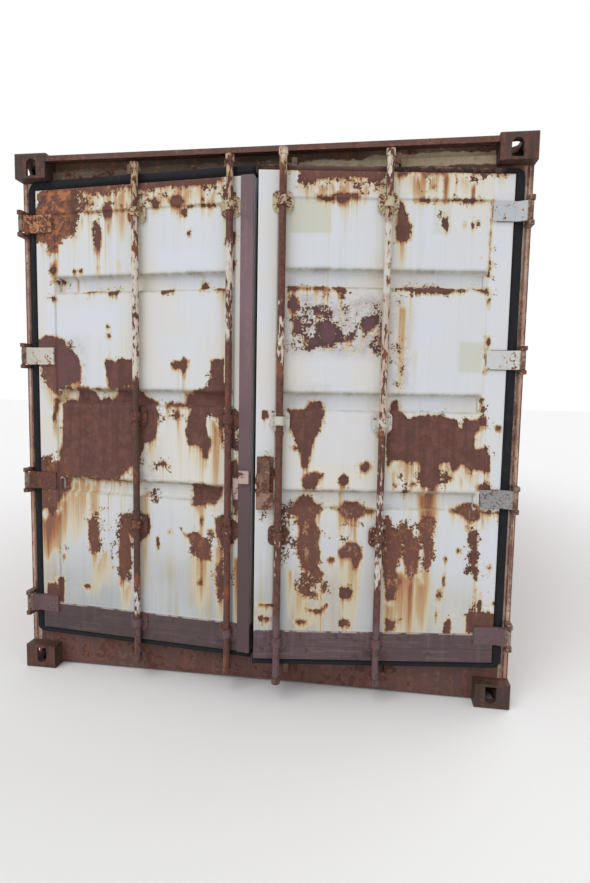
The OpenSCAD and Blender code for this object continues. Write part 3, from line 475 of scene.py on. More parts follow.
blushes = {  # where old paint shows pinkish through the white: low corner, high corner, how much
    "right": [((146, 1636), (604, 1896), .8), ((625, 1500), (700, 1900), .6),
              ((150, 1400), (330, 1480), .4)],
    "left": [((880, 1460), (1120, 1700), .5), ((480, 1000), (640, 1220), .4)],
}
cleaner = {  # where rust has hardly run: low corner, high corner, how much less
    "right": [((620, 1660), (1060, 1922), .85), ((150, 1440), (600, 1650), .6),
              ((690, 2020), (1044, 2296), .75), ((150, 2020), (600, 2290), .5),
              ((330, 1130), (600, 1460), .6), ((860, 360), (1140, 860), .5)],
    "left": [((170, 1640), (1000, 1914), .75), ((160, 2020), (580, 2270), .75),
             ((330, 420), (560, 1000), .75), ((160, 1480), (560, 1640), .4)],
}
brights = {  # where the rust is orange and scabby: low corner, high corner, how much
    "right": [((620, 560), (880, 900), .7), ((180, 470), (350, 960), .5), ((600, 2320), (900, 2440), .5),
              ((200, 2380), (600, 2440), .4), ((860, 860), (1080, 1000), .35),
              ((380, 640), (540, 960), .4)],
    "left": [((920, 2110), (1150, 2440), 1), ((1020, 1370), (1150, 1620), .8),
             ((540, 2330), (920, 2440), .7), ((980, 880), (1160, 1110), .6), ((180, 600), (340, 800), .6),
             ((640, 540), (900, 1010), .4)],
}


def fromLine(start, end, across, up):
    (ax, az), (bx, bz) = start, end
    dx, dz = bx - ax, bz - az
    t = np.clip(((across - ax) * dx + (up - az) * dz) / (dx * dx + dz * dz), 0, 1)
    return np.hypot(across - ax - t * dx, up - az - t * dz)


# How far each place lies inside an outline, a spot or a line, in millimetres, outside less than nothing
def insideOutline(outline, across, up):
    nearest = np.full(across.shape, 1e9)
    inside = np.zeros(across.shape, bool)
    for start, end in zip(outline, outline[1:] + outline[:1]):
        nearest = np.minimum(nearest, fromLine(start, end, across, up))
        (ax, az), (bx, bz) = start, end
        inside ^= ((az > up) != (bz > up)) & (across < (bx - ax) * (up - az) / (bz - az + 1e-9) + ax)
    return np.where(inside, nearest, -nearest)


def insideSpot(spot, across, up):
    x, z, wide, high = spot
    return (1 - np.hypot((across - x) / wide, (up - z) / high)) * min(wide, high)


def insideSeam(seam, across, up):
    start, end, half = seam
    return half - fromLine(start, end, across, up)


def insideSquare(square, across, up):
    (ax, az), (bx, bz) = square[:2]
    return np.minimum.reduce([across - ax, bx - across, up - az, bz - up])


weather = {
    "reach": 80.0, "glow": 52.0, "glowSpread": 0.8, "longShare": 0.06, "long": (90.0, 420.0),
    "bars": {"right": (123.0, 587.0), "left": (116.0, 587.0)}, "barReach": 40.0,
    # lines along the bands: at the upper edge dirt and painted shade, at the lower edge rust and dirt
    "creaseDirtAndShade": ((39.0, 1.0, 9.0), (-40.0, 0.6, 5.0)), "ragged": 55.0, "begin": 38.0,
    "short": 12.0, "lumps": 1.6, "grit": 0.35, "narrowing": 0.1, "fading": 0.55, "spread": 1.2,
    # the darkening beside the bars is grime and painted shade; towards the foot it is grime
    "softTint": 9, "softArea": 45, "spare": 6, "barGrimeAndShade": 0.8, "footGrime": 0.55,
    "footHigh": 760, "footLow": 345, "seepFrom": -4, "seepTo": 6, "lumpWidth": 7, "raggedWidth": 9,
    "early": 8, "panelMargin": 2,
}


def smoothed(values, width):
    kernel = np.hanning(width + 2)[1:-1]
    padded = np.pad(values, width // 2, mode="edge")
    return np.convolve(padded, kernel / kernel.sum(), "valid")[:len(values)]


# Seeping rust: a short glow under every patch, and long thin runs at a few places along its foot
def seeping(rust, up):
    count = rust.shape[1]
    ease = smoothed(rng.standard_normal(count), weather["lumpWidth"]) * weather["lumps"]
    ease = ease + rng.standard_normal(count) * weather["grit"]
    glow = weather["glow"] * np.exp(weather["glowSpread"] * ease)
    chosen = rng.random(count) < weather["longShare"]
    low, high = weather["long"]
    long = np.where(chosen, low + (high - low) * rng.random(count) ** 2, weather["short"])
    start = ramp(rust, weather["seepFrom"], weather["seepTo"])
    soft, thin = start.copy(), start.copy()
    for row in range(rust.shape[0] - 2, -1, -1):
        fall = up[row + 1] - up[row]
        soft[row] = np.maximum(soft[row], soft[row + 1] * np.exp(-fall / glow))
        thin[row] = np.maximum(thin[row], thin[row + 1] * np.exp(-fall / long))
    return soft, thin


# What the weather has done at each place of a leaf, with painted shade along the bands' upper edges and
# beside the bars, for its paint to read
def leafWeatherAndShade(side, across, up):
    rust = np.full(across.shape, -weather["reach"])
    for found, depth in ((patches, insideOutline), (spots, insideSpot), (seams, insideSeam)):
        for each in found[side]:
            rust = np.maximum(rust, depth(each, across, up))
    rust = np.clip(rust, -weather["reach"], weather["reach"])
    glow, thin = seeping(rust, up)
    stain = np.zeros(across.shape)
    for x, top, length, half, strength in runs[side]:
        drawn = rng.standard_normal(across.shape[1])
        start = top + smoothed(drawn, weather["raggedWidth"]) * weather["ragged"]
        down = np.clip((start - up) / length, 0, 1)
        width = half * (1 - weather["narrowing"] * down)
        here = np.exp(-((across - x) / width) ** 2 * weather["spread"]) * (1 - down) ** weather["fading"]
        here = here * ramp(start - up, -weather["early"], weather["begin"])
        stain = np.maximum(stain, strength * here)
    sets = {"flecks": blotched, "tint": overpaints, "blush": blushes, "bright": brights, "clean": cleaner}
    areas = {}
    for name, found in sets.items():
        areas[name] = np.zeros(across.shape)
        for square in found[side]:
            soft = weather["softTint"] if name == "tint" else weather["softArea"]
            here = square[2] * ramp(insideSquare(square, across, up), -soft, soft)
            areas[name] = areas[name] + here if name == "tint" else np.maximum(areas[name], here)
    glow, thin = (run * (1 - areas["clean"]) for run in (glow, thin))
    for square in bareWhite[side]:
        spare = insideSquare(square, across, up)
        rust = np.where(spare > -weather["spare"], np.minimum(rust, -spare), rust)
    low, high = panelEdges(side)[:2]
    margin = weather["panelMargin"]
    panel = (across > low + margin) & (across < high - margin)
    # dark lines along the bands' edges: at the upper edge dirt and painted shade, at the lower edge rust
    creaseDirtShade = np.zeros(across.shape)
    for middle in leaf["bands"]:
        for edge, much, half in weather["creaseDirtAndShade"]:
            creaseDirtShade = np.maximum(creaseDirtShade, much * np.exp(-((up - middle - edge) / half) ** 2))
    # darkening beside the bars is grime and painted shade; towards the foot it is grime
    grimeAndShade = np.zeros(across.shape)
    for bar in weather["bars"][side]:
        grimeAndShade = np.maximum(grimeAndShade, np.exp(-((across - bar) / weather["barReach"]) ** 2))
    footGrime = ramp(-up, -weather["footHigh"], -weather["footLow"]) * weather["footGrime"]
    grimeAndShade = np.maximum(grimeAndShade * weather["barGrimeAndShade"], footGrime)
    del areas["clean"]
    return {"rust": rust * mm, "glow": glow, "thin": thin, "stain": stain, **areas,
            "creaseDirtShade": creaseDirtShade * panel, "grimeAndShade": grimeAndShade}


def buildLeafSkin(side, finish):
    inner, outer = leaf["ends"][side], leaf["outer"]
    low, high, foot, top = panelEdges(side)
    step, corner = leaf["step"], leaf["corner"]
    columns = lines([inner, inner + 1, inner + corner, low, low + step, high - step, high,
                     outer - corner, outer - 1, outer], leaf["grid"])
    rows = lines([leaf["foot"], leaf["foot"] + 1, leaf["foot"] + corner, foot, foot + step, *bandLines(),
                  top - step, top, leaf["top"] - corner, leaf["top"] - 1, leaf["top"]], leaf["grid"])
    across, up = np.meshgrid(columns, rows)
    depth = faceDepth(side, across, up)
    places = np.stack([across, depth, up], 2).reshape(-1, 3)
    count, wide, tall = len(places), len(columns), len(rows)
    faces = gridFaces(wide, tall)
    # the leaf's edges run straight back from the skin's outline
    outline = (list(range(wide)) + [wide * (j + 1) - 1 for j in range(1, tall)]
               + [wide * (tall - 1) + i for i in range(wide - 2, -1, -1)]
               + [wide * j for j in range(tall - 2, 0, -1)])
    rim = places[outline].copy()
    rim[:, 1] = leaf["back"]
    places = np.vstack([places, rim])
    for i, a in enumerate(outline):
        after = (i + 1) % len(outline)
        faces.append((a, count + i, count + after, outline[after]))
    skin = pieceFrom(side + "_leaf_skin", swungPlaces(side, places), flipped(faces, side == "right"),
                     side + "_leaf", finish)
    for name, values in leafWeatherAndShade(side, across, up).items():
        flat = values.ravel()
        addValues(skin, name, np.concatenate([flat, flat[outline]]))
    addValues(skin, "closed", places * mm, "FLOAT_VECTOR", "vector")
    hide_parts(side + "_stiles", side + "_rails", side + "_panel")


# The inside of a leaf: flat frame, set-in panel and the bands' backs
def buildLeafLining(side, finish):
    inner, outer = leaf["ends"][side], leaf["outer"]
    low, high, foot, top = panelEdges(side)
    steps, rim = leaf["liningSteps"], leaf["liningRim"]
    columns = lines([inner, low, *(low + step for step in steps), *(high - step for step in steps[::-1]),
                     high, outer], leaf["liningGrid"])
    rows = lines([leaf["foot"], foot, foot + 1, *bandLines(), top - 1, top, leaf["top"]], leaf["liningGrid"])
    across, up = np.meshgrid(columns, rows)
    inside = (across > low + .5) & (across < high - .5) & (up > foot + .5) & (up < top - .5)
    brim = (across < low + rim) | (across > high - rim) | (up < foot + rim) | (up > top - rim)
    face = np.where(brim, leaf["face"] + leaf["inset"], faceDepth(side, across, up))
    depth = np.where(inside, face + leaf["sheet"] + leaf["liningGap"], leaf["back"])
    places = np.stack([across, depth, up], 2).reshape(-1, 3)
    faces = flipped(gridFaces(len(columns), len(rows)), side == "left")
    lining = pieceFrom(side + "_leaf_lining", swungPlaces(side, places), faces, side + "_leaf", finish,
                       False)
    addValues(lining, "closed", places * mm, "FLOAT_VECTOR", "vector")


# Rubber along a leaf's top, hinge side and foot, and none on its free edge: a swept section with a neck,
# a lip over the frame and an inner fin
seal = {
    "section": [(0, 56), (11, 56), (13, 53), (20, 52), (31, 52), (36, 53.5), (38, 57), (37, 61), (33, 62.5),
                (26, 62), (19, 63), (14.5, 67), (14.5, 78), (18, 82), (17, 86), (14, 90), (13, 98), (0, 98)],
    "freeEdge": 5.0, "step": 30.0, "waves": 1.2, "bend": 10.0, "bendSteps": 5, "bendTurn": 15,
    "neck": 14.5, "lip": 23.5, "lipDeep": 66, "lipSpread": 1.62, "waveLong": 91, "waveShort": 37,
    "reach": {"side": 1.16, "rightTop": 0.62, "leftTop": 1.18, "foot": 0.66},
}


def buildSeal(side, finish):
    inner, outer = leaf["ends"][side], leaf["outer"]
    foot, top, bend, neck = leaf["foot"], leaf["top"], seal["bend"], seal["neck"]
    path = []                                   # place across and up, and the way out at it

    def addBend(middle, first):
        for i in range(1, seal["bendSteps"] + 1):
            a = math.radians(first - seal["bendTurn"] * i)
            ox, oz = math.cos(a), math.sin(a)
            path.append((outer - bend + bend * ox, middle + bend * oz, ox, oz))

    edge = lines([inner - seal["freeEdge"], outer - bend], seal["step"])
    path += [(x, top, 0, 1) for x in edge]
    addBend(top - bend, 90)
    path += [(outer, z, 1, 0) for z in lines([foot + bend, top - bend], seal["step"])[::-1]]
    addBend(foot + bend, 0)
    path += [(x, foot, 0, -1) for x in edge[::-1]]
    section, reach = seal["section"], seal["reach"]
    places, faces, run = [], [], 0.0
    for k, (x, z, ox, oz) in enumerate(path):
        if k:
            run += math.hypot(x - path[k - 1][0], z - path[k - 1][1])
        wider = reach["side"] * ox * ox + (reach[side + "Top"] if oz > 0 else reach["foot"]) * oz * oz
        swell = math.sin(run / seal["waveLong"]) + 0.6 * math.sin(run / seal["waveShort"] + 1)
        for out, deep in section:
            tip = max(0.0, (out - neck) / seal["lip"]) if deep < seal["lipDeep"] else 0.0
            wave = tip * seal["waves"] * swell
            out = out if tip == 0 else neck + (out - neck) * (1 + (wider - 1) * seal["lipSpread"])
            places.append((x + ox * out, deep - abs(wave), z + oz * out))
    count = len(section)
    for k in range(len(path) - 1):
        for i in range(count):
            a, b = k * count + i, k * count + (i + 1) % count
            faces.append((a, b, b + count, a + count))
    faces.append(tuple(range(count))[::-1])
    faces.append(tuple(len(places) - count + i for i in range(count)))
    piece = pieceFrom(side + "_leaf_seal", swungPlaces(side, places), flipped(faces, side == "right"),
                      side + "_leaf", finish)
    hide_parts(side + "_seal")


# Door paint: white over maroon, eaten by rust where the leaf's own numbers say
doorPaint = {
    "ragged": ((9, .050), (28, .034), (90, .017), (260, .007)), "crisp": 0.0007,
    "speckCut": 0.652, "speckNear": 0.075, "speckFlecks": 0.25, "footLine": 0.345, "bump": 0.0018,
    "teeth": 0.034,
}


def makeDoorPaint():
    coat = Finish("door_paint")
    place = coat.attribute("closed", "Vector")
    split = coat.node("SeparateXYZ", {}, {"Vector": place}, None)
    up = Wire(coat, split.outputs[2])
    broad, mid, fine, grain = (coat.noise(scale, 4, 0.6, place) for scale, much in doorPaint["ragged"])
    wide = coat.noise(2.2, 3, 0.5, place)
    streaks = coat.noise(1, 3, 0.6, place, (44, 9, 1.8), 0.3)
    threads = coat.noise(1, 3, 0.6, place, (170, 9, 3.2), 0.4)

    edge = coat.attribute("rust")
    for noise, (scale, much) in zip((broad, mid, fine, grain), doorPaint["ragged"]):
        edge = edge + (noise - 0.5) * much
    edge = edge + (streaks - 0.5) * doorPaint["teeth"]
    patch = edge.rise(-doorPaint["crisp"], doorPaint["crisp"])
    flecks = coat.attribute("flecks")
    bits = coat.attribute("bright") * (streaks * 0.35 + fine * 0.35 + mid * 0.3).rise(0.54, 0.57)
    patch = patch * (1.0 - bits * 0.9)
    near = edge.rise(-0.05, 0.0)
    over = (fine * 0.3 + mid * 0.32 + grain * 0.12 + broad * 0.26 + near * doorPaint["speckNear"]
            + flecks * doorPaint["speckFlecks"] - doorPaint["speckCut"])
    speck = over.rise(0.0, 0.008)
    rusty = patch.atLeast(speck)
    halo = edge.rise(-0.016, -0.001).atLeast(over.rise(-0.035, 0.0) * 0.8)

    # yellowed, darker paint beside the bars is grime and painted shade; towards the foot it is grime
    grimeAndShade = coat.attribute("grimeAndShade") * (streaks.rise(0.3, 0.62) * 0.35 + mid.rise(0.3, 0.66) * 0.25 + 0.2)
    low = up.fall(0.38, 1.05) * (wide.rise(0.3, 0.66) * 0.4 + streaks.rise(0.4, 0.7) * 0.1 + 0.3)
    low = low * (1.0 - coat.y.rise(0.74, 0.92) * 0.45)
    washes = coat.noise(1, 3, 0.5, place, (8, 8, 1.4)) - coat.y.between(-0.6, -0.1, 0.06) * 0.12
    tint = coat.attribute("tint")
    blush = coat.attribute("blush") * (mid.rise(0.36, 0.6) * 0.6 + 0.3)
    stain = streaks.rise(0.3, 0.65) * 0.45 + threads.rise(0.3, 0.62) * 0.3 + 0.4
    run = coat.attribute("glow") * (streaks.rise(0.34, 0.66) * 0.7 + 0.14)
    run = run.atLeast(coat.attribute("thin") * (threads.rise(0.35, 0.6) * 0.5 + 0.25))
    run = run.atLeast(coat.attribute("stain") * stain) + halo * 0.3
    creaseDirtShade = coat.attribute("creaseDirtShade")
    white = coat.layers(
        coat.blend(wide.rise(0.38, 0.62), tones["coolWhite"], tones["warmWhite"]),
        (streaks.rise(0.52, 0.74) * 0.22, tone(186, 184, 182)),
        (grimeAndShade * 0.85, tones["cream"]),
        (grimeAndShade * threads.rise(0.56, 0.72) * 0.3, tones["olive"]),
        (low, coat.blend(washes.rise(0.44, 0.56), tone(150, 160, 168), tone(152, 140, 118))),
        (tint.rise(0.1, 1.0) * 0.75, tone(194, 194, 174)),
        ((-tint).rise(0.1, 1.0) * 0.8, tone(210, 213, 222)),
        (blush * 0.9, tone(156, 142, 146)),
        (blush * fine.rise(0.52, 0.64) * 0.6, tone(122, 94, 96)),
        (run.rise(0.02, 0.26) * 0.75, tones["cream"]),
        (run.rise(0.2, 0.5) * 0.9, tones["tan"]),
        (run.rise(0.5, 0.8) * 0.85, tones["orange"]),
        (run.rise(0.8, 1.05) * 0.7, tones["redRust"]),
        # olive lines along the bands' edges are dirt and painted shade, with rust along them
        (creaseDirtShade * (mid.rise(0.3, 0.65) * 0.45 + 0.4), tone(150, 142, 118)),
        (creaseDirtShade * broad.rise(0.5, 0.62) * 0.45, tones["brownRust"]))

    foot = up.fall(doorPaint["footLine"] - 0.0015, doorPaint["footLine"] + 0.0015)
    level = coat.noise(1, 4, 0.6, place, (5, 5, 70))
    old = coat.layers(
        coat.blend(wide.rise(0.35, 0.6), tones["maroon"], tone(82, 64, 68)),
        (streaks.rise(0.5, 0.75) * 0.35, tones["paleMaroon"]),
        (level.rise(0.52, 0.66) * 0.5, tone(72, 55, 58)),
        (level.fall(0.34, 0.45) * 0.4, tone(120, 100, 104)),
        (fine.rise(0.58, 0.68) * 0.5, tones["brownRust"]),
        ((mid * 0.6 + broad * 0.4).rise(0.58, 0.6) * 0.7, tone(62, 45, 44)),
        (coat.y.fall(-0.03, 0.03) * 0.45,
         coat.blend(broad.rise(0.4, 0.6), tone(52, 44, 43), tone(74, 60, 56))),
        (up.between(0.338, 0.3445, 0.002) * mid.rise(0.4, 0.55), tone(168, 150, 148)),
        (up.between(0.268, 0.272, 0.003) * 0.45, tones["darkRust"]))
    paint = coat.blend(foot, white, old)

    bright = coat.attribute("bright") * (mid * 0.5 + broad * 0.2 + streaks * 0.3).rise(0.45, 0.58)
    scabs = (mid * 0.5 + fine * 0.3 + broad * 0.2).rise(0.46, 0.54)
    scabs = coat.attribute("bright").rise(0.72, 0.95) * scabs
    core = coat.layers(
        coat.blend(mid.rise(0.36, 0.62), tones["redRust"], tones["brownRust"]),
        (threads.rise(0.5, 0.7) * 0.35, tones["plum"]),
        (grain.rise(0.56, 0.72) * 0.6, tones["darkRust"]),
        ((mid * 0.5 + fine * 0.5).rise(0.57, 0.66) * 0.3, tones["orange"]),
        ((streaks * 0.6 + broad * 0.4).rise(0.5, 0.6) * 0.55, tone(84, 54, 50)),
        (bright * 0.6, tone(146, 88, 60)),
        (bright * (fine * 0.5 + mid * 0.5).rise(0.52, 0.6) * 0.45, tone(170, 122, 88)),
        (scabs * 0.7, tone(182, 118, 76)),
        (coat.attribute("blush") * 0.8, tone(98, 70, 78)),
        (edge.fall(0.0, 0.007) * 0.45, tones["darkRust"]))
    colour = coat.blend(rusty * (1.0 - foot * 0.6), paint, core)
    colour = coat.blend(bits * (1.0 - speck) * edge.rise(0.0, 0.004) * 0.8, colour, tone(186, 152, 118))

    rough = rusty * 0.32 + 0.5 + (fine - 0.5) * 0.12
    skin = (1.0 - rusty) * 0.5 + rusty * (grain * 0.5 + fine * 0.5) * 0.9 + halo * 0.12
    normal = coat.bump(skin, doorPaint["bump"], 0.9)
    return coat.close(colour, rough, normal, 0.4)


plainSteel = {
    "scale": 7, "dirt": 0.3, "wornAmount": 0.7, "streakFactors": (34, 34, 2.0),
    "threadFactors": (130, 130, 4.0), "foot": (0.0, 0.1, 0.0), "halo": 0.7, "rough": 0.58, "bump": 0.0014,
    "paleAndHighlightStrips": [], "levels": [],
}


# Painted steel of the frame, walls and gear: paint, how rusty it is and how its stains run
def makeSteel(name, look):
    coat = Finish(name)
    look = {**plainSteel, **look}
    scale = look["scale"]
    broad = coat.noise(scale, 4, 0.55)
    fine = coat.noise(scale * 6, 5, 0.65)
    grain = coat.noise(230, 3, 0.6)
    streaks = coat.noise(1, 3, 0.6, None, look["streakFactors"], 0.3)
    threads = coat.noise(1, 3, 0.6, None, look["threadFactors"], 0.4)
    amount = broad * 0.45 + fine * 0.35 + streaks * 0.2
    low, high, more = look["foot"]
    if more:
        amount = amount + coat.z.fall(low, high) * more
    cut = look["cut"]
    rusty = amount.rise(cut - 0.01, cut + 0.01)
    halo = amount.rise(cut - 0.07, cut)
    paint = coat.blend(coat.noise(scale * 0.4, 2, 0.5).rise(0.35, 0.65), look["paint"][0], look["paint"][1])
    paint = coat.blend(threads.rise(0.5, 0.76) * look["dirt"], paint, tones["dirt"])
    if "worn" in look:
        under = (fine * 0.55 + streaks * 0.45).rise(0.54, 0.6)
        paint = coat.blend(under * look["wornAmount"], paint, look["worn"])
    # pale strips along the posts' edges: worn white paint and a painted highlight
    for low, high, colour, much in look["paleAndHighlightStrips"]:
        strip = coat.y.size().between(low, high, 0.002) * (streaks * 0.6 + fine * 0.4).rise(0.4, 0.52)
        paint = coat.blend(strip * much, paint, colour)
        rusty = rusty * (1.0 - strip * 0.7)
    height = coat.z + (broad - 0.5) * 0.05 + (fine - 0.5) * 0.012
    # bands by height and side: paint, and on the header a painted shadow under the lip
    for low, high, near, far, colour, much in look["levels"]:
        level = height.between(low, high, 0.003) * coat.y.between(near, far, 0.04)
        paint = coat.blend(level * (fine.rise(0.3, 0.6) * 0.3 + 0.7) * much, paint, colour)
        rusty = rusty * (1.0 - level * 0.75)
    # darker recessed flats of the walls: dirt and painted shade
    if "recess" in look:
        axis, low, high, colour, much = look["recess"]
        deep = (coat.x, coat.y)[axis].size().fall(low, high)
        paint = coat.blend(deep * (fine.rise(0.3, 0.7) * 0.4 + 0.6) * much, paint, colour)
    if "head" in look:
        low, high, colour, much = look["head"]
        paint = coat.blend(coat.z.rise(low, high) * streaks.rise(0.45, 0.62) * much, paint, colour)
    if "fade" in look:
        low, high, colour, much = look["fade"]
        paint = coat.blend(coat.z.fall(low, high) * much, paint, colour)
    seep = halo * (streaks.rise(0.35, 0.65) * 0.5 + 0.1)
    paint = coat.blend(seep * look["halo"], paint, tones["orange"])
    core = coat.layers(coat.blend(fine.rise(0.38, 0.62), tones["redRust"], tones["brownRust"]),
                       (grain.rise(0.5, 0.72) * 0.7, tones["darkRust"]),
                       (streaks.rise(0.6, 0.8) * 0.3, tones["orange"]))
    colour = coat.blend(rusty, paint, core)
    rough = rusty * 0.3 + look["rough"] + (fine - 0.5) * 0.12
    skin = (1.0 - rusty) * 0.4 + rusty * (grain * 0.6 + fine * 0.4)
    normal = coat.bump(skin, look["bump"], 0.9)
    return coat.close(colour, rough, normal, 0.35)


wallPaint = {
    "paint": (tone(116, 74, 66), tone(130, 88, 80)), "cut": 0.6, "scale": 3.2, "dirt": 0.3,
    "worn": tone(142, 104, 96), "wornAmount": 0.5, "foot": (0.15, 0.7, 0.09), "rough": 0.6,
    "head": (1.3, 2.5, tone(76, 50, 42), 0.5),
}
steels = {
    "casting_steel": {"paint": (tone(72, 51, 46), tone(58, 41, 35)), "cut": 0.55, "scale": 11, "dirt": 0.4,
                      "worn": tone(84, 60, 51), "bump": 0.002, "halo": 0.4},
    "post_steel": {"paint": (tone(118, 84, 70), tone(132, 102, 84)), "cut": 0.51, "scale": 9, "dirt": 0.5,
                   "worn": tone(176, 160, 140), "wornAmount": 0.7, "streakFactors": (70, 70, 1.1),
                   "threadFactors": (210, 210, 2.2),
                   # pale strips along the posts' edges: worn white paint and a painted highlight
                   "paleAndHighlightStrips": [(1.15, 1.190, tone(196, 190, 180), 0.8),
                              (1.199, 1.212, tone(214, 184, 166), 0.8)]},
    "header_paint": {"paint": (tone(124, 108, 92), tone(92, 76, 62)), "cut": 0.55, "scale": 9, "dirt": 0.6,
                     "worn": tone(176, 164, 146), "wornAmount": 0.85, "streakFactors": (22, 22, 8.0),
                     "levels": [(2.486, 2.54, 0.12, 0.5, tone(206, 194, 168), 0.85),
                                (2.484, 2.55, 0.5, 1.2, tone(206, 188, 156), 0.85),
                                # the next band, dark under the lip, is painted shadow
                                (2.542, 2.6, -1.2, 0.5, tone(62, 46, 36), 0.7),
                                (2.4, 2.482, -1.2, 1.2, tone(74, 50, 40), 0.85)]},
    "rail_steel": {"paint": (tone(102, 70, 66), tone(90, 64, 59)), "cut": 0.535, "scale": 6, "dirt": 0.4,
                   "worn": tone(120, 90, 85), "halo": 0.5},
    "lip_steel": {"paint": (tone(96, 62, 56), tone(80, 56, 46)), "cut": 0.54, "scale": 8, "dirt": 0.4,
                  "worn": tone(126, 92, 88), "streakFactors": (14, 14, 30.0)},
    # the recessed flats of the walls are darker: dirt and painted shade
    "side_paint": {**wallPaint, "recess": (1, 1.186, 1.212, tone(82, 54, 48), 0.42)},
    "front_paint": {**wallPaint, "recess": (0, 2.99, 3.02, tone(82, 54, 48), 0.42)},
    "roof_paint": {"paint": (tone(122, 94, 86), tone(104, 76, 68)), "cut": 0.5, "scale": 4.5, "dirt": 0.4,
                   "worn": tone(146, 126, 116), "wornAmount": 0.5, "rough": 0.65},
    "under_steel": {"paint": (tones["blackSteel"], tone(66, 54, 50)), "cut": 0.52, "scale": 5, "dirt": 0.5},
    "keeper_steel": {"paint": (tone(112, 92, 80), tone(84, 66, 58)), "cut": 0.5, "scale": 14, "dirt": 0.5,
                     "worn": tone(156, 140, 124)},
    "lining_paint": {"paint": (tone(190, 187, 178), tone(176, 170, 158)), "cut": 0.62, "scale": 5,
                     "dirt": 0.2},
    "strip_paint": {"paint": (tone(124, 99, 107), tone(108, 86, 92)), "cut": 0.66, "scale": 6, "dirt": 0.3,
                    "worn": tone(140, 117, 122), "wornAmount": 0.3, "rough": 0.5, "foot": (0.2, 2.2, 0.03),
                    "fade": (0.5, 1.9, tone(80, 64, 65), 0.9)},
    "catch_steel": {"paint": (tone(138, 112, 96), tone(98, 74, 62)), "cut": 0.52, "scale": 18, "dirt": 0.5,
                    "worn": tone(192, 176, 160), "wornAmount": 0.9},
    "staple_steel": {"paint": (tone(196, 172, 172), tone(180, 158, 152)), "cut": 0.56, "scale": 24,
                     "dirt": 0.2, "worn": tone(214, 200, 198)},
}


# Rubber, near black, greyed by chalking and dust
def makeRubber():
    coat = Finish("seal_rubber")
    dust = coat.noise(24, 4, 0.6)
    streaks = coat.noise(1, 3, 0.6, None, (80, 80, 5))
    head = coat.z.rise(2.42, 2.43) * coat.y.between(0.02, 1.08, 0.03)
    crust = coat.noise(30, 4, 0.6)
    colour = coat.layers(
        coat.blend(dust.rise(0.45, 0.7) * 0.5, tone(24, 25, 30), tone(40, 39, 42)),
        (streaks.rise(0.6, 0.76) * 0.35, tone(84, 78, 72)),
        (head, coat.blend(crust.rise(0.42, 0.6), tone(58, 42, 38), tone(96, 68, 60))),
        (head * coat.y.between(0.16, 0.56, 0.04) * 0.7, tone(112, 84, 80)),
        (head * coat.z.rise(2.446, 2.452) * crust.rise(0.5, 0.56) * 0.8, tone(150, 136, 116)))
    normal = coat.bump(coat.noise(160, 4, 0.6), 0.0008, 0.6)
    return coat.close(colour, dust * 0.2 + 0.6, normal, 0.2)


def makePly():
    coat = Finish("floor_ply")
    grainLines = coat.noise(1, 5, 0.6, None, (3, 60, 60), 0.6)
    wear = coat.noise(2.2, 4, 0.6)
    colour = coat.blend(grainLines.rise(0.35, 0.68), tone(126, 92, 60), tone(158, 122, 84))
    colour = coat.blend(wear.rise(0.42, 0.66) * 0.7, colour, tone(86, 70, 56))
    normal = coat.bump(grainLines, 0.001, 0.6)
    return coat.close(colour, wear * 0.2 + 0.6, normal, 0.3)


zonedPaint = {"soft": 0.02, "edge": 0.012, "rim": 0.09, "pale": 0.3, "knuckle": 1.186, "knuckleSoft": 0.003,
              "bump": 0.003}


# Paint that changes with height, as on bars and hinges: bands of (from, to, paint, how rusty) over rust
def makeZoned(name, zones):
    coat = Finish(name)
    flakes = (1, 1, 0.35) if name.endswith("bar_paint") else (1, 1, 1)
    fine = coat.noise(80, 4, 0.65, None, flakes)
    broad = coat.noise(20, 3, 0.55, None, flakes)
    grain = coat.noise(280, 3, 0.6)
    scale = coat.cells(110).fall(0.1, 0.6)
    wide = coat.noise(5, 3, 0.5)
    paint = coat.layers(coat.blend(fine.rise(0.38, 0.62), tones["redRust"], tones["brownRust"]),
                        (scale * 0.45, tones["darkRust"]),
                        ((broad * 0.6 + wide * 0.4).rise(0.53, 0.64) * 0.5, tones["orange"]))
    mixed = broad * 0.5 + fine * 0.5
    cover = None
    height = coat.z + (wide - 0.5) * 0.1
    edge = zonedPaint["edge"]
    for low, high, colour, amount in zones:
        zone = height.between(low, high, zonedPaint["soft"])
        layer = zone * (1.0 - mixed.rise(amount - edge, amount + edge))
        pale = colour[1] > zonedPaint["pale"]
        tinted = coat.layers(colour, (fine.rise(0.4, 0.7) * 0.4, tones["cream" if pale else "plum"]),
                             (mixed.rise(amount - zonedPaint["rim"], amount) * 0.6,
                              tones["tan" if pale else "brownRust"]))
        paint = coat.blend(layer, paint, tinted)
        cover = layer if cover is None else cover.atLeast(layer)
    if "blades" in name:
        middle, soft = zonedPaint["knuckle"], zonedPaint["knuckleSoft"]
        knuckle = coat.y.size().rise(middle - soft, middle + soft)
        shade = coat.blend(mixed.rise(0.42, 0.56), tone(150, 132, 114), tone(104, 78, 66))
        paint = coat.blend(knuckle, paint, shade)
    rusty = 1.0 - cover
    rough = rusty * 0.32 + 0.52
    skin = cover * 0.55 + rusty * (grain * 0.4 + scale * 0.6)
    normal = coat.bump(skin, zonedPaint["bump"], 1.0)
    return coat.close(paint, rough, normal, 0.35)


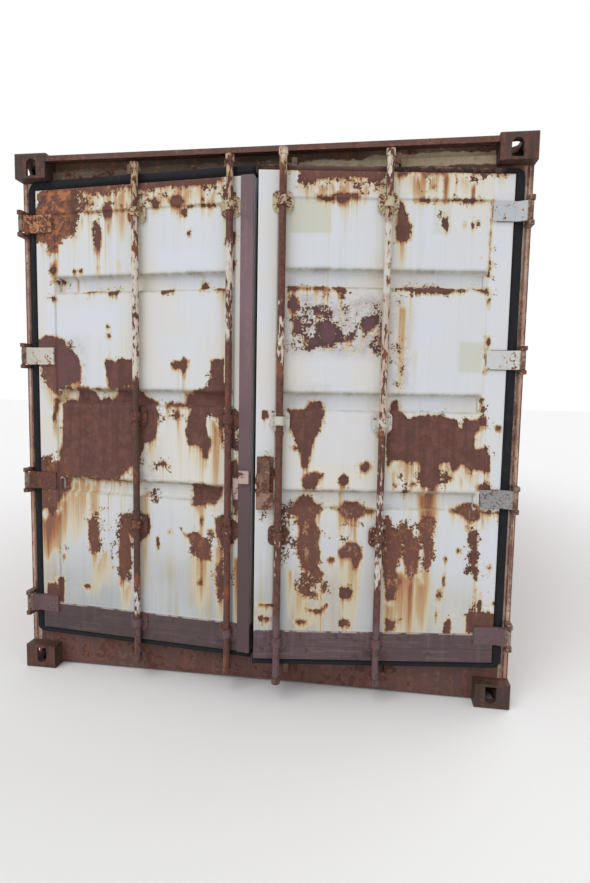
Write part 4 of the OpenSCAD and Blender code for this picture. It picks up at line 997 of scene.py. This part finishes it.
oldWhite, pinkWhite, greyWhite = tone(204, 199, 193), tone(190, 176, 170), tone(198, 200, 204)
oldTan, dullMaroon = tone(182, 160, 132), tone(98, 78, 81)
zoned = {
    "right_inner_bar": [(0.0, 0.40, dullMaroon, .56), (.62, .86, oldWhite, .44), (1.55, 1.86, oldWhite, .47),
                        (2.3, 2.4, oldTan, .42), (2.4, 2.46, oldTan, .5),
                        (2.46, 2.52, tone(206, 190, 170), .56)],
    "right_outer_bar": [(0.0, 0.40, dullMaroon, .56), (.56, 1.0, greyWhite, .49), (1.0, 1.3, pinkWhite, .45),
                        (1.3, 1.9, pinkWhite, .54), (1.9, 2.2, oldWhite, .56), (2.2, 2.36, oldTan, .5),
                        (2.38, 2.52, oldWhite, .48)],
    "left_inner_bar": [(0.0, 0.42, tones["brownRust"], .5), (1.69, 1.88, oldWhite, .47),
                       (1.88, 2.12, oldWhite, .53), (2.3, 2.52, oldTan, .48)],
    "left_outer_bar": [(0.0, 0.34, dullMaroon, .5), (.36, .52, greyWhite, .5),
                       (.54, 1.46, tone(74, 52, 42), .55), (1.5, 2.28, oldWhite, .53),
                       (2.3, 2.52, oldTan, .47)],
    "right_hinge_blades": [(.2, .45, dullMaroon, .62), (.9, 1.1, tone(146, 145, 146), .6),
                           (1.5, 1.7, greyWhite, .59), (2.1, 2.4, tone(178, 184, 194), .61)],
    "left_hinge_blades": [(.2, .45, dullMaroon, .6), (1.5, 1.7, tone(196, 192, 188), .6),
                          (2.1, 2.4, tone(186, 128, 84), .53)],
    "right_bar_brackets": [(0.0, 0.5, dullMaroon, .58), (.75, .86, oldTan, .42),
                           (1.2, 1.45, tone(194, 192, 188), .585), (2.2, 2.4, tone(190, 178, 152), .54)],
    "left_bar_brackets": [(0.0, 0.5, dullMaroon, .58), (.75, .86, oldTan, .4),
                          (2.2, 2.4, tone(182, 168, 142), .54)],
    "hinge_lugs_right": [(0.0, 3.0, tone(140, 118, 100), .5)],
    "hinge_lugs_left": [(0.0, 3.0, tone(128, 104, 90), .49)],
}


def dress(node, material):
    for place in frame["nodes"][node].material_slots:
        place.material = material


made = {name: makeSteel(name, look) for name, look in steels.items()}
wears = {
    "casting_steel": ["bottom_castings_door", "bottom_castings_front", "top_castings_door",
                      "top_castings_front"],
    "post_steel": ["door_post_right", "door_post_left"],
    "header_paint": ["door_header"],
    "rail_steel": ["front_posts", "front_top_rail", "front_bottom_rail", "top_side_rails",
                   "bottom_rail_right", "bottom_rail_left", "door_sill"],
    "lip_steel": ["header_lip"],
    "side_paint": ["side_wall_right", "side_wall_left"],
    "front_paint": ["front_wall"],
    "roof_paint": ["roof_panel"],
    "under_steel": ["cross_members", "forklift_pockets"],
    "keeper_steel": ["header_keepers", "sill_keepers"],
    "strip_paint": ["left_cover_strip"],
    "catch_steel": ["right_catch"],
    "staple_steel": ["left_catch"],
}
for material, nodes in wears.items():
    for node in nodes:
        dress(node, made[material])
dress("floor_panels_ply", makePly())
for node, zones in zoned.items():
    dress(node, makeZoned(node + "_paint", zones))
print("frame dressed")

doorFinish, rubber = makeDoorPaint(), makeRubber()
for side in ("right", "left"):
    buildLeafSkin(side, doorFinish)
    buildLeafLining(side, made["lining_paint"])
    buildSeal(side, rubber)
    print(side, "leaf built")


# Small fittings as joined meshes: shapes are gathered in one list of places and faces
class Gather:
    def __init__(self):
        self.places = []
        self.faces = []

    def rings(self, rings):  # skin over rings of as many places each, closed at both ends
        start, count = len(self.places), len(rings[0])
        for ring in rings:
            self.places += [tuple(p) for p in ring]
        for k in range(len(rings) - 1):
            for i in range(count):
                a, b = start + k * count + i, start + k * count + (i + 1) % count
                self.faces.append((a, b, b + count, a + count))
        self.faces.append(tuple(range(start, start + count))[::-1])
        self.faces.append(tuple(start + (len(rings) - 1) * count + i for i in range(count)))

    def bolt(self, x, y, z, turn):  # head standing out from depth y, with a domed top
        around = [turn + 2 * math.pi * i / boltHead["sides"] for i in range(boltHead["sides"])]
        radius, high = boltHead["radius"], boltHead["high"]
        self.rings([[(x + radius * r * math.cos(a), y - high * h, z + radius * r * math.sin(a))
                     for a in around] for r, h in boltHead["profile"]])

    def bead(self, start, end, radius, ripple=5.0):  # weld bead: a low ridge with a ripple along it
        a, b = Vector(start), Vector(end)
        way = (b - a).normalized()
        side = way.orthogonal().normalized()
        up = way.cross(side)
        count = max(2, int((b - a).length / (ripple / 2)))
        around = [2 * math.pi * i / 6 for i in range(6)]
        rings = []
        for k in range(count + 1):
            swell = radius * (0.8 + 0.2 * math.cos(math.pi * k) + 0.12 * rng.standard_normal())
            if k in (0, count):
                swell *= 0.5
            middle = a + (b - a) * k / count
            rings.append([middle + side * swell * math.cos(t) + up * swell * math.sin(t) for t in around])
        self.rings(rings)


boltHead = {"radius": 7.0, "high": 5.0, "sides": 6,
            "profile": ((1.25, 0), (1.25, .12), (1, .14), (1, .8), (.78, 1), (.3, 1.06))}
hinge = {"blade": (1045.5, 1136.0), "depth": 47.0, "heights": (340.0, 987.0, 1619.0, 2265.0),
         "half": 42.5, "round": 18, "end": 26, "bead": 3.2}
bracket = {"heights": (300.0, 800.0, 1330.0, 2290.0), "bolts": ((-33, -26), (33, -26), (-33, 26), (33, 26)),
           "depth": 42.0}


def onLeaf(name, parts, side, finish):
    pieceFrom(name, swungPlaces(side, parts.places), flipped(parts.faces, side == "right"), side + "_leaf",
              finish, False)


def onContainer(name, parts, finish, flip=False):
    places = [np.array(p) * mm for p in parts.places]
    pieceFrom(name, places, flipped(parts.faces, flip), "container", finish, False)


def buildFittings(side, beadFinish, boltFinish):
    beads, bolts = Gather(), Gather()
    (inner, outer), deep, size = hinge["blade"], hinge["depth"], hinge["bead"]
    for z in hinge["heights"]:
        for up in (-hinge["half"], hinge["half"]):
            beads.bead((inner + hinge["round"], deep, z + up), (outer, deep, z + up), size)
        beads.bead((inner, deep, z - hinge["end"]), (inner, deep, z + hinge["end"]), size)
    for bar in weather["bars"][side]:
        for z in bracket["heights"]:
            for x, up in bracket["bolts"]:
                bolts.bolt(bar + x, bracket["depth"], z + up, rng.random() * 3)
    onLeaf(side + "_blade_welds", beads, side, beadFinish)
    onLeaf(side + "_bracket_bolts", bolts, side, boltFinish)


for side in ("right", "left"):
    painted = frame["nodes"][side + "_bar_brackets"].material_slots[0].material
    buildFittings(side, made["keeper_steel"], painted)

vent = {"recesses": (-2363.0, 2363.0), "skin": 1217.0, "mouth": 103.0, "slope": 68 / 36, "play": 1.5,
        "back": 34.0, "foot": 2318.0, "louvres": 7, "pitch": 13.0, "front": 3.0, "groove": 9.0, "edge": 16,
        "first": 12}


# Louvred vents, each filling one recess of a side wall under the top rail
def buildVents(side, finish):
    parts = Gather()
    back = vent["back"]
    profile = [(0, vent["edge"]), (6, vent["front"])]   # height above the vent's foot, and its depth there
    for i in range(vent["louvres"]):
        up = vent["first"] + i * vent["pitch"]
        profile += [(up, vent["front"]), (up + 2, vent["groove"]), (up + 5, vent["groove"] - 2),
                    (up + 9, vent["front"])]
    top = vent["first"] + vent["louvres"] * vent["pitch"]
    profile += [(top, vent["front"]), (top + 6, vent["edge"])]
    for x in vent["recesses"]:
        rings = []
        for up, deep in profile:
            wide, narrow = (vent["mouth"] - vent["slope"] * d - vent["play"] for d in (deep, back))
            near, far = (side * (vent["skin"] - d) for d in (deep, back))
            z = vent["foot"] + up
            rings.append([(x - wide, near, z), (x + wide, near, z),
                          (x + narrow, far, z), (x - narrow, far, z)])
        parts.rings(rings)
    word = "right" if side > 0 else "left"
    onContainer(word + "_side_vents", parts, finish, side < 0)


welds = {"door": 2959.0, "casting": 2851.0, "skin": 1217.0, "post": 1150.0, "inner": 1057.0, "foot": 118.0,
         "head": 2473.0, "roof": 2575.0, "rail": 2515.0, "low": 20, "size": 3.4, "thin": 2.0, "seam": 2.6,
         "seamRipple": 16.0}


# Weld beads round the posts' ends, along the roof's edges and where the rails meet the castings
def buildWelds(finish):
    parts = Gather()
    door, casting, skin = welds["door"], welds["casting"], welds["skin"]
    foot, head, roof, size, thin = (welds[key] for key in ("foot", "head", "roof", "size", "thin"))
    for y in (-1, 1):
        for z in (foot, head):
            parts.bead((door, y * welds["post"], z), (door, y * skin, z), size)
        parts.bead((door, y * welds["inner"], head + 2), (door, y * welds["inner"], roof - 40), size)
        seam = y * (skin - 5)
        parts.bead((-casting, seam, roof + 2), (casting, seam, roof + 2), welds["seam"], welds["seamRipple"])
        for x in (-casting, casting):
            parts.bead((x, y * skin, welds["rail"]), (x, y * skin, roof), thin)
            parts.bead((x, y * skin, welds["low"]), (x, y * skin, foot), thin)
    onContainer("container_welds", parts, finish)


railEnd = {"post": 1157.0, "casting": 1057.0, "foot": 118.0, "deep": 58.0, "thick": 4.5}


# Plates that carry the front rail on over the castings to the posts
def buildRailEnds(finish):
    low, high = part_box("front_bottom_rail")
    front, top, thick = low[0] / mm, high[2] / mm, railEnd["thick"]
    profile = [(0, railEnd["foot"]), (0, top), (railEnd["deep"], top), (railEnd["deep"], top - thick),
               (thick, top - thick), (thick, railEnd["foot"])]
    parts = Gather()
    for y in (-1, 1):
        rings = [[(front + deep, y * across, up) for deep, up in profile]
                 for across in (railEnd["casting"], railEnd["post"])[::y]]
        parts.rings(rings)
    onContainer("front_rail_ends", parts, finish)


for side in (1, -1):
    buildVents(side, made["side_paint"])
buildWelds(made["rail_steel"])
buildRailEnds(made["rail_steel"])
print("fittings built")

# Camera at the photograph's place, plain floor and soft light
view = {"eye": (5.6055, 0.5476, 1.4544), "right": (-0.14006, 0.98998, 0.01784),
        "up": (-0.08329, -0.02974, 0.99608), "back": (0.98663, 0.13803, 0.08662),
        "lens": 22.56, "sensor": 36.0}
studio = {"floor": 0.86, "sky": 0.70, "key": 1.15, "fill": 0.5, "softness": 40.0,
          "reach": 60, "rough": 0.9, "shine": 0.1,
          "keyAim": (-0.8, 0.45, -1.0), "fillAim": (0.7, -0.6, -0.9)}

lens = bpy.data.cameras.new("camera")
lens.lens = view["lens"]
lens.sensor_width = view["sensor"]
camera = addObject("camera", lens)
turn = Matrix((view["right"], view["up"], view["back"])).transposed().to_4x4()
camera.matrix_world = Matrix.Translation(view["eye"]) @ turn
bpy.context.scene.camera = camera

ground = Finish("studio_floor")
groundFinish = ground.close((studio["floor"],) * 3 + (1.0,), studio["rough"], None, studio["shine"])
mesh = bpy.data.meshes.new("floor")
reach = studio["reach"]
mesh.from_pydata([(-reach, -reach, 0), (reach, -reach, 0), (reach, reach, 0), (-reach, reach, 0)], [],
                 [(0, 1, 2, 3)])
mesh.materials.append(groundFinish)
floor = addObject("floor", mesh)


def addSun(name, strength, aim):
    lamp = bpy.data.lights.new(name, "SUN")
    lamp.energy = strength
    lamp.angle = math.radians(studio["softness"])
    addObject(name, lamp).rotation_euler = Vector(aim).to_track_quat("-Z", "Y").to_euler()


for name in ("key", "fill"):
    addSun(name, studio[name], studio[name + "Aim"])

world = bpy.data.worlds.new("studio")
bpy.context.scene.world = world
world.use_nodes = True
sky = world.node_tree.nodes
sky.clear()
paths = sky.new("ShaderNodeLightPath")
seen, more = sky.new("ShaderNodeMath"), sky.new("ShaderNodeMath")
soft, plain, both, out = (sky.new("ShaderNode" + kind) for kind in
                          ("Background", "Background", "MixShader", "OutputWorld"))
for light, strength in ((soft, studio["sky"]), (plain, 1.0)):
    light.inputs[0].default_value = (1, 1, 1, 1)
    light.inputs[1].default_value = strength
for either in (seen, more):
    either.operation = "MAXIMUM"
links = world.node_tree.links
for start, end in ((paths.outputs["Is Camera Ray"], seen.inputs[0]),
                   (paths.outputs["Is Transmission Ray"], seen.inputs[1]),
                   (seen.outputs[0], more.inputs[0]), (paths.outputs["Is Glossy Ray"], more.inputs[1]),
                   (more.outputs[0], both.inputs[0]), (soft.outputs[0], both.inputs[1]),
                   (plain.outputs[0], both.inputs[2]), (both.outputs[0], out.inputs[0])):
    links.new(start, end)
bpy.context.scene.view_settings.view_transform = "Standard"
print("studio set")
